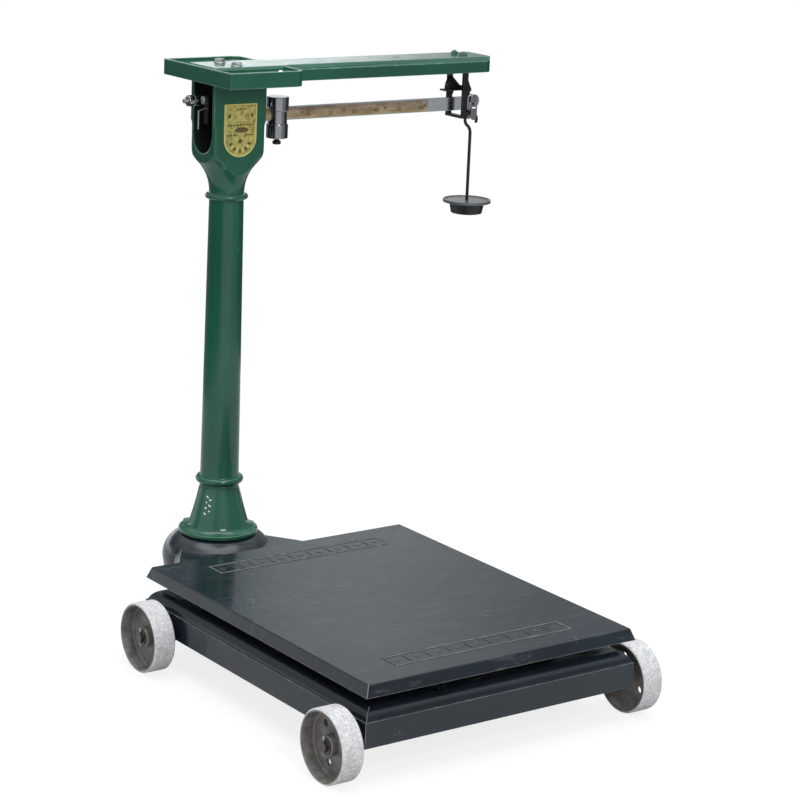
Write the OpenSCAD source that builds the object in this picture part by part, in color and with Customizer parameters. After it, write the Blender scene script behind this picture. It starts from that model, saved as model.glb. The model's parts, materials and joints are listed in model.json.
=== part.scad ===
// Platform scale: cast iron beam scale on four wheels, with a sliding poise and a weight hanger.
// Origin: middle of the footprint, on the floor. +X runs along the weigh beam, +Y from deck to column.

/* [Platform deck] */
// Width of the deck across the wheels
deck_w = 600; // [520:10:680]
// Length of the deck towards the column
deck_l = 736; // [660:4:800]
// Height of the deck face above the base casting
deck_up = 44; // [44:1:60]
// Thickness of the deck plate
deck_t = 9; // [7:0.5:12]
// Height of the skirt round the deck
skirt_h = 22; // [18:1:26]
// Thickness of the skirt at its foot
skirt_t = 9; // [8:0.5:12]
// How far the skirt leans in towards the top
skirt_lean = 7; // [3:0.5:10]
// Width of the ribs under the deck
rib_w = 8; // [5:1:12]
// Depth of the ribs under the deck
rib_h = 8; // [4:1:12]
// Length of the bordered strips cast on the deck
strip_l = 392; // [300:4:420]
// Width of the bordered strips
strip_w = 46; // [36:1:56]
// Distance from the deck's end to the middle of a strip
strip_in = 82; // [60:1:110]
// Height of the strips' border
strip_rise = 1.2; // [0.8:0.1:2]

/* [Base casting] */
// Height of the base's lower edge above the floor
base_low = 67; // [64:1:70]
// Height of the sharp edge where the wall meets the moulding
arris_z = 115; // [112:1:118]
// Height of the base's top face
base_top = 136; // [132:1:140]
// Thickness of the base walls
wall_t = 12; // [10:1:14]
// Width of the ledge outside the moulding
ledge_w = 2; // [1:0.5:4]
// Radius of the moulding
mould_r = 29; // [24:1:31]
// Width of the top flange
flange_w = 60; // [50:1:70]
// Distance from the rear of the base to the column axis
column_back = 222; // [200:2:240]
// Half width of the neck where it leaves the base
neck_wide = 250; // [210:5:270]
// Half width of the neck at the column
neck_narrow = 100; // [90:1:104]
// Height of the neck above the floor
neck_top = 127; // [125:1:130]
// Slope of the neck's upper edge, measured level
neck_slope = 14; // [10:1:20]
// Largest radius of the round pedestal
pedestal_r = 113; // [106:1:120]
// Rounding radius of the pedestal's shoulder
pedestal_round = 52; // [44:1:56]
// Height of the pedestal's top face
pedestal_top = 148; // [144:1:152]

/* [Wheels] */
// Radius of the wheels
wheel_r = 67; // [64:1:70]
// Width of the tread
tread_w = 44; // [36:1:48]
// Thickness of the rim
rim_t = 6; // [4:0.5:9]
// Thickness of the dished web
web_t = 7; // [5:0.5:10]
// How deep the web lies behind the wheel's outer face
web_in = 26; // [16:1:28]
// Radius of the hub
hub_r = 19; // [16:0.5:22]
// Radius of the holes in the web
web_hole_r = 7; // [4:0.5:9]
// Number of holes in the web
web_holes = 3; // [3:1:5]
// Gap between the base wall and the wheel
wheel_gap = 13; // [11:1:18]
// Radius of the axles
axle_r = 10; // [8:0.5:12]
// Distance from the front of the base to the front axle
front_axle_in = 48; // [40:1:60]
// Distance from the rear of the base to the rear axle
rear_axle_in = 70; // [60:1:90]

/* [Column] */
// Radius of the foot's flange
foot_r = 81; // [76:1:88]
// Thickness of the foot's flange
foot_flange_t = 8; // [7:0.5:10]
// Height of the foot casting
foot_h = 102; // [90:1:116]
// Radius of the foot's cone at the flange
cone_r = 66; // [62:1:68]
// Circle radius of the foot's two bolts
foot_bolt_r = 61; // [57:0.5:63]
// Turn of the foot's bolts about the column
foot_bolt_turn = -35; // [-50:1:-20]
// Radius of the foot's bolt lugs
lug_r = 17.5; // [15:0.5:19]
// Radius of the column at the bottom
column_r = 39.5; // [37:0.5:42]
// Radius of the column at the top
column_top_r = 34.3; // [34:0.1:37]
// Radius of the bore down the column
column_bore = 28; // [24:0.5:30]
// Height of the column tube
column_h = 600; // [540:5:680]
// Thickness of the lower bead ring
bead_low = 7; // [5:0.5:9]
// Thickness of the upper bead ring
bead_up = 6; // [4:0.5:8]

/* [Head] */
// Width of the head along the beam
head_w = 121; // [116:1:126]
// Depth of the head across the beam
head_d = 88; // [84:1:96]
// Thickness of each cheek
cheek_t = 9; // [8:0.5:11]
// Height of the head from the column to the tray's floor
head_h = 237; // [230:1:250]
// Radius of the head's neck
head_neck_r = 35; // [34:0.5:37]
// Radius of the hollow curve above the neck
flare_in_r = 85; // [80:1:90]
// Turn of the hollow curve before the round one takes over
flare_turn = 44; // [40:1:48]
// Width of the label plate
label_w = 75; // [60:1:86]
// Height of the label plate
label_h = 105; // [90:1:112]

/* [Tray and arm] */
// Length of the tray along the beam
tray_x = 174; // [160:1:180]
// How far the tray reaches left of the column axis
tray_left = 76; // [73:1:80]
// Width of the tray across the beam
tray_y = 250; // [242:2:270]
// Height of the tray's outside
tray_h = 31; // [28:1:36]
// Height of the rim above the tray's floor
tray_rim = 7; // [5:0.5:9]
// Thickness of the tray's rim and skirt
tray_t = 6; // [5:0.5:8]
// Width of the arm
arm_w = 104; // [96:1:112]
// Length of the arm beyond the tray
arm_reach = 519; // [505:1:540]
// Thickness of the arm's top and sides
arm_t = 5; // [4:0.5:6]
// Height of the slope along the arm's upper edges
arm_slope_z = 9; // [7:0.5:11]
// Width of the slope along the arm's upper edges
arm_slope_y = 11; // [8:0.5:14]

/* [Weigh beam] */
// Distance from the top of the head down to the knife edges
beam_drop = 87; // [83:1:91]
// Height of the beam bar
beam_h = 28; // [24:1:30]
// Thickness of the beam bar
beam_t = 8; // [6:0.5:10]
// Distance from the load knife to the fulcrum knife
load_arm = 44; // [40:0.5:46]
// Distance from the trig loop to the hanger's knife
knife_past_loop = 40; // [36:1:46]
// Distance from the column axis to the poise at zero
poise_x = 115; // [105:1:125]
// Distance from the poise at full scale to the trig loop
poise_short = 78; // [68:1:148]
// Radius of the poise's upper weight
poise_r = 22.3; // [20:0.1:24]
// Radius of the poise's lower weight
poise_low_r = 21.8; // [20:0.1:24]
// Radius of the poise's waist
waist_r = 19.5; // [17:0.5:20]
// Height of the graduated plate
scale_h = 23; // [18:0.5:24]
// Radius of the balance nut
nut_r = 11; // [9:0.5:13]
// Length of the balance nut
nut_l = 24; // [18:1:25]
// Height of the balance screw above the knife edges
balance_up = 34; // [30:0.5:38]

/* [Trig loop] */
// Distance from the arm's end to the trig loop
loop_in = 54; // [46:1:62]
// Width of the loop's strap
strap_w = 13; // [10:0.5:14]
// Thickness of the loop's strap
strap_t = 5.5; // [4:0.5:6]
// Distance between the loop's legs
loop_w = 48; // [40:1:52]
// Length of the latch lever from its pin
latch_l = 46; // [44:1:50]

/* [Weight hanger] */
// Radius of the hanger's rod
rod_r = 3.3; // [2.5:0.1:4]
// Distance from the knife edges down to the hanger's disc
hanger_drop = 210; // [180:1:240]
// Radius of the disc
disc_r = 51; // [44:1:56]
// Thickness of the disc
disc_t = 4; // [3:0.5:6]
// Height of the cup under the disc
cup_h = 23; // [18:1:28]
// Radius of the cup at the top
cup_top_r = 37.5; // [32:0.5:42]
// Radius of the cup at the bottom
cup_low_r = 33; // [28:0.5:36]

/* [Levers] */
// Weight on the deck that balances one unit on the hanger
scale_ratio = 100; // [80:5:120]
// Height of the long lever's knife edges
long_z = 107; // [106:0.5:108]
// Height of the short lever's knife edges
short_z = 85.5; // [85:0.5:86.5]
// Thickness of the levers
lever_t = 12; // [10:0.5:12]
// Width of the levers' bars
lever_w = 20; // [16:1:24]
// Distance from the deck's side to the levers' knife edges
knife_in = 95; // [92:1:110]
// Distance from the deck's end to the levers' fulcrums
fulcrum_in = 38; // [34:1:58]

/* [Clearances] */
// Gap between pieces that move past each other
gap = 0.4; // [0.3:0.05:0.5]
// Radial clearance of a shaft in its bore
run = 0.08; // [0.03:0.01:0.1]

/* [Hidden] */
$fn = 96;
cut = 1;
shaft_r = axle_r + run;
deck_top = base_top + deck_up;
knife_side = deck_w / 2 - knife_in;
fulcrum_out = deck_l / 2 - fulcrum_in;

wheel_out = deck_w / 2 + wheel_gap + tread_w;
tray_right = tray_x - tray_left;
arm_end = tray_right + arm_reach;
loop_x = arm_end - loop_in;
end_x = loop_x + knife_past_loop;
poise_travel = loop_x - poise_short - poise_x;
span_right = max(end_x + disc_r, arm_end);
column_x = (wheel_out - span_right) / 2;
front_y = -deck_l / 2 + front_axle_in;
rear_y = deck_l / 2 - rear_axle_in;
tip_y = deck_l / 2 + column_back;
deck_y = -(front_y - wheel_r + tip_y + tray_y / 2) / 2;
column_y = deck_y + tip_y;

deck_low = deck_top - skirt_h;
deck_under = deck_top - deck_t;
edge_round = 3;
border_w = 3;
rib_side = 130;
rib_end = deck_l / 2 - 88;
rib_x = [-rib_side, 0, rib_side];
rib_y = [-rib_end, -rib_side, 0, rib_side, rib_end];

inner_x = deck_w / 2 - wall_t;
inner_y = deck_l / 2 - wall_t;
step_in = 20;
step_z = long_z + lever_t / 2 + 5;
flange_t = 12;
neck_shoulder = neck_top - 15;
neck_hollow_top = neck_top - 8;
neck_wall = 16;
window_half = 95;
pedestal_in = pedestal_r - 15;
pedestal_in_top = pedestal_top - 23;
pedestal_foot = 4;
lug_out_r = 22;
lug_in = 4;
boss_r = 14;

hub_out = wheel_out - 10;
washer_t = 2.5;
axle_end = wheel_out - 1.5;
cotter_x = wheel_out - 4.5;
cotter_r = 1.5;
cotter_l = 28;
web_hole_at = (hub_r + wheel_r - rim_t) / 2;
wheel_edge = 2.5;

foot_top = pedestal_top + foot_h;
flange_top = pedestal_top + foot_flange_t;
cone_top_r = 40;
cone_top_z = foot_top - 6;
cone_k = (cone_r - cone_top_r) / (cone_top_z - flange_top);
fillet_r = 16;
fillet_z = flange_top + fillet_r;
fillet_x = cone_r - cone_k * fillet_r + fillet_r * sqrt(1 + cone_k * cone_k);
fillet_steps = 8;
lug_top = flange_top + 4;
lug_seat = 0.5;
pocket_r = lug_r + 1;
foot_bolt_r2 = 6;
foot_hex = 22;
foot_head_h = 8;
foot_bolt_in = 18;

column_top = foot_top + column_h;
bead_low_z = foot_top + 9;
bead_up_z = column_top - 8;
bead_out = 2.4;

head_top = column_top + head_h;
beam_z = head_top - beam_drop;
disc_z = beam_z - hanger_drop;
gap_half = head_d / 2 - cheek_t;
fork_up = 115;
fork_z = column_top + fork_up;
head_bore = 25;
flare_p = [head_neck_r + flare_in_r * (1 - cos(flare_turn)), column_top + flare_in_r * sin(flare_turn)];
flare_out_r = flare_p[0] / cos(flare_turn);
flare_c = flare_p[1] + flare_out_r * sin(flare_turn);
tray_plate = 7;
tray_floor = head_top + tray_plate;
tray_top = tray_floor + tray_rim;
tray_low = tray_top - tray_h;
tray_corner = 22;
arm_low = tray_low;
arm_top = tray_top + 1;
tongue_in = 8;
tongue_l = tray_x - tongue_in;
tongue_bevel = 6;
arm_corner = 22;
arm_hole_in = 215;
arm_hole_x = arm_end - arm_hole_in;
arm_hole_r = 5;
arm_sink_r = 7.5;
cap_bolt_x = -4;
cap_bolt_y = 31;
cap_bolt_r = 6;
cap_hex = 18;
cap_head_h = 6;
cap_washer_r = 12;
cap_washer_t = 1.5;
cap_boss_h = 32;
cap_bolt_in = 24;
screw_x = 72;
screw_y = 72;
screw_r = 3;
screw_head_r = 5;
screw_head_h = 3;
screw_dome_r = 7;
label_t = 1.2;
label_up = 75;
label_low = column_top + label_up;

fulcrum_x = load_arm;
end_arm = end_x - fulcrum_x;
root_l = -52;
root_r = 58;
root_t = 16;
bar_end = end_x - 15;
nose_r = 13.5;
nose_x = end_x + 4;
nose_z = beam_z + 4;
horn_w = 12;
balance_x = -83;
balance_rod_r = 3;
balance_end = balance_x - 21;
balance_collar_r = 8;
balance_collar_l = 8;
balance_stop_r = 4.5;
wire_r = 1.6;
wire_z = beam_z + 18;
wire_drop_z = beam_z + 13;
wire_x = -69;
wire_low = beam_z - 23;

knife_h = 8;
knife_w = 8;
fulcrum_knife_l = 62;
load_knife_l = 38;
end_knife_l = 26;
bearing_in = 22;
bearing_w = 20;
bearing_h = 16;

scale_t = 1.6;
scale_l = root_r + 2;
scale_r = poise_x + poise_travel;
scale_rivet_r = 2.5;
scale_rivet_in = 8;
scale_rivets = 5;

poise_top = beam_z + 34;
poise_step = beam_z + 6;
poise_join = beam_z - 20;
poise_low = beam_z - 49;
edge_cut = 1.2;
knob_r = 8.5;
knob_h = 11;
knob_stem_r = 4;
knob_stem_l = 12;
knob_drop = 2;

loop_rest = 9;
loop_drop = loop_rest + strap_t;
loop_low = beam_z - beam_h / 2 - loop_drop;
loop_y = loop_w / 2 + strap_t / 2;
loop_out = loop_w / 2 + strap_t;
loop_foot = 20;
loop_bolt_y = 15;
loop_bolt_r = 4;
loop_bolt_up = 8;
loop_head_r = 6.5;
loop_head_h = 4.5;
loop_nut_w = 15;
loop_nut_h = 5;
arm_under = arm_top - arm_t;
pin_dx = 7;
pin_x = loop_x + pin_dx;
pin_z = beam_z + 33;
pin_r = 2.5;
ear_r = 7.5;
ear_up = 34;
ear_down = 22;
pin_head_r = 6;
pin_head_t = 3;
latch_hub_r = 5.5;
latch_plate_t = 3.5;
latch_low = pin_z - 5;
latch_w = 18;
fin_t = 9;
fin_in = 12;
fin_up = 2;
fin_r = 25.3;
fin_foot = 3;
fin_slope = 46;

stirrup_in = 11;
stirrup_t = 4;
stirrup_w = 22;
stirrup_low = beam_z - 40;
stirrup_top = beam_z + 12;
stirrup_bar = 6;
steel_rod_r = 4.5;
rod_head_r = 8;
rod_head_h = 8;
tip_top = long_z + 40;
tip_low = long_z - 10;
window_w = knife_w + 6;
window_h = knife_h + 6;

lever_ratio = scale_ratio * load_arm / end_arm;
lever_long = tip_y + fulcrum_out;
load_in = lever_long / lever_ratio;
load_y = fulcrum_out - load_in;
lever_knife_l = 50;
tip_knife_l = 40;
boss_w = 26;
boss_l = 20;
side_gap = 1;
stand_w = 58;
stand_h = 16;
stand_web = 12;
join_in = 68;
join_y = deck_l / 2 - join_in;
ring_w = 44;
ring_hole_x = 16;
ring_hole_y = 28;
link_w = 12;
link_in = 8;
link_t = 4;
link_bar = 6;
prong_w = 11;
foot_l = 20;
elbow_in = foot_l / 2 + 3;

end_plate_in = 7;
end_plate_t = 3;
end_plate_w = 16;
end_plate_top = beam_z + 10;
end_pin_r = 3.5;
end_pin_z = beam_z - 28;
hook_r = 15;
hook_turn = 235;
hook_tail = -20;
hook_z = end_pin_z + end_pin_r + gap - (hook_r - rod_r);
hook_p = hook_z + hook_r * sin(hook_turn);
bend_r = -hook_r * cos(hook_turn) / (1 + cos(hook_turn));
bend_z = hook_p - bend_r * sin(hook_turn - 180);
joint_more = 0.1;
disc_rim_w = 4;
disc_rim_h = 2;
disc_top = disc_z + disc_t / 2;
disc_low = disc_z - disc_t / 2;
cup_low = disc_low - cup_h;
rod_low = disc_low - 8;

// Moves its children to the middle of the deck.
module at_deck() {
    translate([column_x, deck_y, 0]) children();
}

// Moves its children to the column's axis.
module at_column() {
    translate([column_x, column_y, 0]) children();
}

// Turns upright children to lie along X.
module along_x() {
    rotate([0, 90, 0]) children();
}

// Turns upright children to lie along Y.
module along_y() {
    rotate([-90, 0, 0]) children();
}

// Makes a plate of thickness t from an outline drawn in X and Z, centred on y 0.
module xz_plate(t) {
    rotate([90, 0, 0]) linear_extrude(height = t, center = true) children();
}

// Makes a bar of length l from an outline drawn in Y and Z, centred on x 0.
module yz_bar(l) {
    rotate([90, 0, 90]) linear_extrude(height = l, center = true) children();
}

// A box given by its low and high corners.
module block(low, high) {
    translate(low) cube(high - low);
}

// A flat bar of width w from point a to point b, drawn in plan.
module strip(a, b, w) {
    d = (b - a) / norm(b - a);
    n = [-d[1], d[0]] * w / 2;
    polygon([a + n, b + n, b - n, a - n]);
}

// A hexagon prism measured across its flats.
module hexagon(flats, h) {
    cylinder(r = flats / sqrt(3), h = h, $fn = 6);
}

// The section of a knife edge: the edge is at the origin and points up.
module knife_section() {
    polygon([
        [0, 0], [knife_w / 2, -knife_h / 2], [knife_w / 2, -knife_h],
        [-knife_w / 2, -knife_h], [-knife_w / 2, -knife_h / 2]
    ]);
}

// A knife lying along X, with its edge up (1) or down (-1).
module knife_x(l, up) {
    yz_bar(l) scale([1, up]) knife_section();
}

// A knife lying along Y, with its edge up (1) or down (-1).
module knife_y(l, up) {
    xz_plate(l) scale([1, up]) knife_section();
}

// One side view of the base: wall, ledge and rounded moulding.
module base_profile(span) {
    inset = ledge_w + mould_r;
    translate([-span / 2, base_low]) square([span, arris_z - base_low]);
    translate([-span / 2 + inset, arris_z - cut])
        square([span - 2 * inset, base_top - arris_z + cut]);
    for (side = [-1, 1])
        translate([side * (span / 2 - inset), base_top - mould_r]) circle(mould_r);
}

// The neck's plan, drawn in by the given amount.
module neck_plan(inset, start) {
    polygon([
        [-neck_wide + inset, start], [neck_wide - inset, start],
        [neck_narrow - inset, tip_y], [-neck_narrow + inset, tip_y]
    ]);
}

module neck_solid() {
    start = deck_l / 2 - cut;
    translate([0, 0, base_low])
        linear_extrude(height = neck_shoulder - base_low) neck_plan(0, start);
    hull() {
        translate([0, 0, neck_shoulder - 0.1])
            linear_extrude(height = 0.1) neck_plan(0, start);
        translate([0, 0, neck_top - 0.1])
            linear_extrude(height = 0.1) neck_plan(neck_slope, start);
    }
}

// The pedestal's section, from the axis outwards.
module pedestal_section() {
    flat = pedestal_r - pedestal_round;
    shoulder = pedestal_top - pedestal_round;
    difference() {
        union() {
            translate([flat, shoulder]) circle(pedestal_round);
            translate([0, base_low]) square([flat, pedestal_top - base_low]);
            polygon([
                [0, base_low], [pedestal_r - pedestal_foot, base_low],
                [pedestal_r, shoulder], [0, shoulder]
            ]);
        }
        translate([0, base_low - 2 * pedestal_round])
            square([2 * pedestal_r, 2 * pedestal_round]);
    }
}

module axle_lug(side) {
    along_x() {
        translate([0, 0, side > 0 ? inner_x - lug_in : -deck_w / 2])
            cylinder(r = lug_out_r, h = wall_t + lug_in);
        translate([0, 0, side > 0 ? inner_x - lug_in : -deck_w / 2 - wheel_gap + gap])
            cylinder(r = boss_r, h = wall_t + lug_in + wheel_gap - gap);
    }
}

module base_frame() {
    color([0.12, 0.14, 0.16]) at_deck() difference() {
        union() {
            intersection() {
                xz_plate(deck_l) base_profile(deck_w);
                yz_bar(deck_w) base_profile(deck_l);
            }
            neck_solid();
            translate([0, tip_y, 0]) rotate_extrude() pedestal_section();
            for (y = [front_y, rear_y], side = [-1, 1])
                translate([0, y, wheel_r]) axle_lug(side);
        }
        block([-inner_x, -inner_y, base_low - cut], [inner_x, inner_y, step_z]);
        block([-inner_x + step_in, -inner_y + step_in, base_low],
            [inner_x - step_in, inner_y - step_in, base_top - flange_t]);
        block([-deck_w / 2 + flange_w, -deck_l / 2 + flange_w, base_low],
            [deck_w / 2 - flange_w, deck_l / 2 - flange_w, base_top + cut]);
        translate([0, 0, base_low - cut])
            linear_extrude(height = neck_hollow_top - base_low + cut)
                neck_plan(neck_wall, deck_l / 2);
        block([-window_half, inner_y - cut, base_low - cut],
            [window_half, deck_l / 2 + cut, neck_hollow_top]);
        translate([0, tip_y, base_low - cut])
            cylinder(r = pedestal_in, h = pedestal_in_top - base_low + cut);
        translate([0, tip_y, base_low]) cylinder(r = column_bore, h = pedestal_top);
        for (y = [front_y, rear_y])
            translate([-wheel_out, y, wheel_r]) along_x() cylinder(r = axle_r, h = 2 * wheel_out);
        for (side = [0, 180])
            translate([0, tip_y, pedestal_in_top]) rotate([0, 0, foot_bolt_turn + side])
                translate([foot_bolt_r, 0, 0]) cylinder(r = foot_bolt_r2, h = pedestal_top);
    }
}

// A forked stand under one fulcrum: the wall is on its +Y side.
module stand(z) {
    difference() {
        block([-stand_w / 2, -stand_web, z - gap - stand_h],
            [stand_w / 2, inner_y - fulcrum_out, z - gap]);
        block([-boss_w / 2 - side_gap, -stand_web - cut, z - gap - stand_h - cut],
            [boss_w / 2 + side_gap, stand_web, z]);
    }
}

module fulcrum_stands() {
    color([0.2, 0.2, 0.22]) at_deck() for (side = [-1, 1]) {
        translate([side * knife_side, fulcrum_out, 0]) stand(short_z);
        translate([side * knife_side, -fulcrum_out, 0]) rotate([0, 0, 180]) stand(long_z);
    }
}

module axle() {
    difference() {
        translate([-axle_end, 0, wheel_r]) along_x() cylinder(r = axle_r, h = 2 * axle_end);
        for (side = [-1, 1])
            translate([side * cotter_x, 0, 0]) cylinder(r = cotter_r, h = 2 * wheel_r);
    }
}

module front_axle() {
    color([0.5, 0.5, 0.52]) at_deck() translate([0, front_y, 0]) axle();
}

module rear_axle() {
    color([0.5, 0.5, 0.52]) at_deck() translate([0, rear_y, 0]) axle();
}

module wheel_washers() {
    color([0.55, 0.55, 0.56]) at_deck()
        for (y = [front_y, rear_y], side = [-1, 1])
            translate([side * (hub_out + gap + washer_t / 2), y, wheel_r]) along_x()
                difference() {
                    cylinder(r = hub_r - 3, h = washer_t, center = true);
                    cylinder(r = axle_r, h = washer_t + cut, center = true);
                }
}

module cotter_pins() {
    color([0.6, 0.6, 0.6]) at_deck()
        for (y = [front_y, rear_y], side = [-1, 1])
            translate([side * cotter_x, y, wheel_r]) {
                cylinder(r = cotter_r, h = cotter_l, center = true);
                translate([0, 0, cotter_l / 2 + 2]) along_x()
                    rotate_extrude() translate([2.6, 0]) circle(cotter_r - 0.3);
            }
}

// Half of a wheel's section; x is the radius and y runs from the outer face inwards.
module wheel_section() {
    c = wheel_edge;
    in = wheel_r - rim_t;
    face = wheel_out - hub_out;
    back = web_in + web_t;
    polygon([
        [wheel_r - c, 0], [wheel_r, c], [wheel_r, tread_w - c], [wheel_r - c, tread_w],
        [in, tread_w], [in, back + c], [in - c, back], [hub_r + c, back], [hub_r, back + c],
        [hub_r, tread_w], [shaft_r, tread_w], [shaft_r, face], [hub_r - c, face],
        [hub_r, face + c], [hub_r, web_in - c], [hub_r + c, web_in], [in - c, web_in],
        [in, web_in - c], [in, 0]
    ]);
}

// One wheel with its outer face at the origin and its inner side towards +X.
module wheel(turn) {
    along_x() difference() {
        rotate_extrude() wheel_section();
        for (i = [0 : web_holes - 1])
            rotate([0, 0, turn + i * 360 / web_holes]) translate([web_hole_at, 0, web_in - cut])
                cylinder(r = web_hole_r, h = web_t + 2 * cut);
    }
}

module placed_wheel(side, y, turn) {
    color([0.35, 0.35, 0.35]) at_deck() translate([side * wheel_out, y, wheel_r])
        mirror([side > 0 ? 1 : 0, 0, 0]) wheel(turn);
}

module wheel_front_left() {
    placed_wheel(-1, front_y, 20);
}

module wheel_front_right() {
    placed_wheel(1, front_y, 50);
}

module wheel_rear_left() {
    placed_wheel(-1, rear_y, 80);
}

module wheel_rear_right() {
    placed_wheel(1, rear_y, 10);
}

// The foot's section: flange, hollow fillet and cone.
module foot_section() {
    turn = atan(1 / cone_k);
    polygon(concat(
        [[0, pedestal_top], [foot_r, pedestal_top], [foot_r, flange_top]],
        [for (i = [0 : fillet_steps]) [fillet_x, fillet_z]
            - fillet_r * [sin(turn * i / fillet_steps), cos(turn * i / fillet_steps)]],
        [[cone_top_r, cone_top_z], [cone_top_r, foot_top], [0, foot_top]]
    ));
}

module column_foot() {
    color([0.16, 0.35, 0.27]) at_column() difference() {
        union() {
            difference() {
                rotate_extrude() foot_section();
                for (side = [0, 180]) rotate([0, 0, foot_bolt_turn + side])
                    translate([foot_bolt_r, 0, lug_top - lug_seat])
                        cylinder(r = pocket_r, h = foot_h);
            }
            for (side = [0, 180]) rotate([0, 0, foot_bolt_turn + side])
                translate([foot_bolt_r, 0, pedestal_top])
                    cylinder(r = lug_r, h = lug_top - pedestal_top);
        }
        translate([0, 0, pedestal_top - cut]) cylinder(r = column_bore, h = foot_h + 2 * cut);
        for (side = [0, 180]) rotate([0, 0, foot_bolt_turn + side])
            translate([foot_bolt_r, 0, pedestal_top - cut])
                cylinder(r = foot_bolt_r2, h = lug_top - pedestal_top + 2 * cut);
    }
}

module foot_bolts() {
    color([0.2, 0.3, 0.25]) at_column() for (side = [0, 180])
        rotate([0, 0, foot_bolt_turn + side]) translate([foot_bolt_r, 0, lug_top]) {
            hexagon(foot_hex, foot_head_h);
            translate([0, 0, -foot_bolt_in]) cylinder(r = foot_bolt_r2, h = foot_bolt_in + cut);
        }
}

module column() {
    color([0.16, 0.35, 0.27]) at_column() rotate_extrude() difference() {
        union() {
            polygon([
                [0, foot_top], [column_r, foot_top], [column_top_r, column_top], [0, column_top]
            ]);
            translate([column_r + bead_out, bead_low_z]) circle(bead_low);
            translate([column_top_r + bead_out, bead_up_z]) circle(bead_up);
        }
        translate([0, foot_top - cut]) square([column_bore, column_h + 2 * cut]);
    }
}

// The head's round section: a hollow flare above the neck, then a round one.
module flare_section() {
    difference() {
        translate([0, column_top])
            square([head_neck_r + flare_in_r, flare_p[1] - column_top]);
        translate([head_neck_r + flare_in_r, column_top]) circle(flare_in_r);
    }
    intersection() {
        translate([0, flare_c]) circle(flare_out_r);
        translate([0, flare_p[1] - 2 * cut])
            square([flare_out_r, flare_c - flare_p[1] + 4 * cut]);
    }
    translate([0, flare_c]) square([flare_out_r, head_top - flare_c]);
}

module head() {
    color([0.16, 0.35, 0.27]) at_column() difference() {
        union() {
            difference() {
                intersection() {
                    rotate([0, 0, 90]) rotate_extrude() flare_section();
                    block([-head_w / 2, -head_d / 2, column_top - cut],
                        [head_w / 2, head_d / 2, head_top]);
                }
                translate([-head_w, 0, fork_z]) along_x()
                    cylinder(r = gap_half, h = 2 * head_w);
                block([-head_w, -gap_half, fork_z], [head_w, gap_half, head_top + cut]);
                translate([0, 0, column_top - cut]) cylinder(r = head_bore, h = head_h);
            }
            for (side = [-1, 1]) translate([cap_bolt_x, side * cap_bolt_y, head_top - cap_boss_h])
                cylinder(r = cap_washer_r - 2, h = cap_boss_h);
        }
        for (side = [-1, 1])
            translate([cap_bolt_x, side * cap_bolt_y, head_top - cap_boss_h + 4])
                cylinder(r = cap_bolt_r, h = cap_boss_h);
    }
}

module fulcrum_bearings() {
    color([0.45, 0.45, 0.47]) at_column() for (side = [-1, 1])
        translate([fulcrum_x, side * (bearing_in + gap_half) / 2, beam_z - gap - bearing_h / 2])
            cube([bearing_w, gap_half - bearing_in, bearing_h], center = true);
}

module label_plate() {
    color([0.72, 0.68, 0.33]) at_column() translate([0, -head_d / 2 - label_t / 2, 0])
        xz_plate(label_t) {
            translate([0, label_low + label_w / 2]) circle(label_w / 2);
            translate([-label_w / 2, label_low + label_w / 2])
                square([label_w, label_h - label_w / 2]);
        }
}

// The tray's plan drawn in by the given amount, with round corners on the right.
module tray_plan(inset) {
    r = tray_corner - inset;
    left = -tray_left + inset;
    right = tray_right - tray_corner;
    half = tray_y / 2 - tray_corner;
    translate([left, -tray_y / 2 + inset]) square([right - left, tray_y - 2 * inset]);
    translate([right, -half]) square([r, 2 * half]);
    for (side = [-1, 1]) translate([right, side * half]) circle(r);
}

module cap_tray() {
    color([0.16, 0.35, 0.27]) at_column() difference() {
        translate([0, 0, tray_low]) linear_extrude(height = tray_h) tray_plan(0);
        translate([0, 0, tray_low - cut])
            linear_extrude(height = head_top - tray_low + cut) tray_plan(tray_t);
        translate([0, 0, tray_floor]) linear_extrude(height = tray_h) tray_plan(tray_t);
        block([tray_right - 2 * tray_t, -arm_w / 2 - gap, tray_floor],
            [tray_right + cut, arm_w / 2 + gap, tray_top + cut]);
        for (side = [-1, 1]) {
            translate([cap_bolt_x, side * cap_bolt_y, tray_low])
                cylinder(r = cap_bolt_r, h = tray_h);
            translate([screw_x, side * screw_y, tray_low]) cylinder(r = screw_r, h = tray_h);
        }
    }
}

// The arm's section drawn in by the given amount, with sloping upper edges.
module arm_section(inset) {
    half = arm_w / 2 - inset;
    top = arm_top - inset;
    polygon([
        [-half, arm_low - inset], [-half, arm_top - arm_slope_z - inset / 2],
        [-arm_w / 2 + arm_slope_y + inset / 2, top], [arm_w / 2 - arm_slope_y - inset / 2, top],
        [half, arm_top - arm_slope_z - inset / 2], [half, arm_low - inset]
    ]);
}

// The arm's plan drawn in by the given amount, with round corners at its end.
module arm_plan(inset) {
    start = tray_right + gap + inset;
    corner = arm_end - arm_corner;
    half = arm_w / 2 - arm_corner;
    r = arm_corner - inset;
    translate([start, -arm_w / 2 + inset]) square([corner - start, arm_w - 2 * inset]);
    translate([corner, -half]) square([r, 2 * half]);
    for (side = [-1, 1]) translate([corner, side * half]) circle(r);
}

module arm_piece(inset) {
    intersection() {
        translate([arm_end - arm_reach / 2, 0, 0])
            yz_bar(arm_reach + 4 * arm_t) arm_section(inset);
        translate([0, 0, arm_low - 2 * arm_t])
            linear_extrude(height = arm_top) arm_plan(inset);
    }
}

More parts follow.
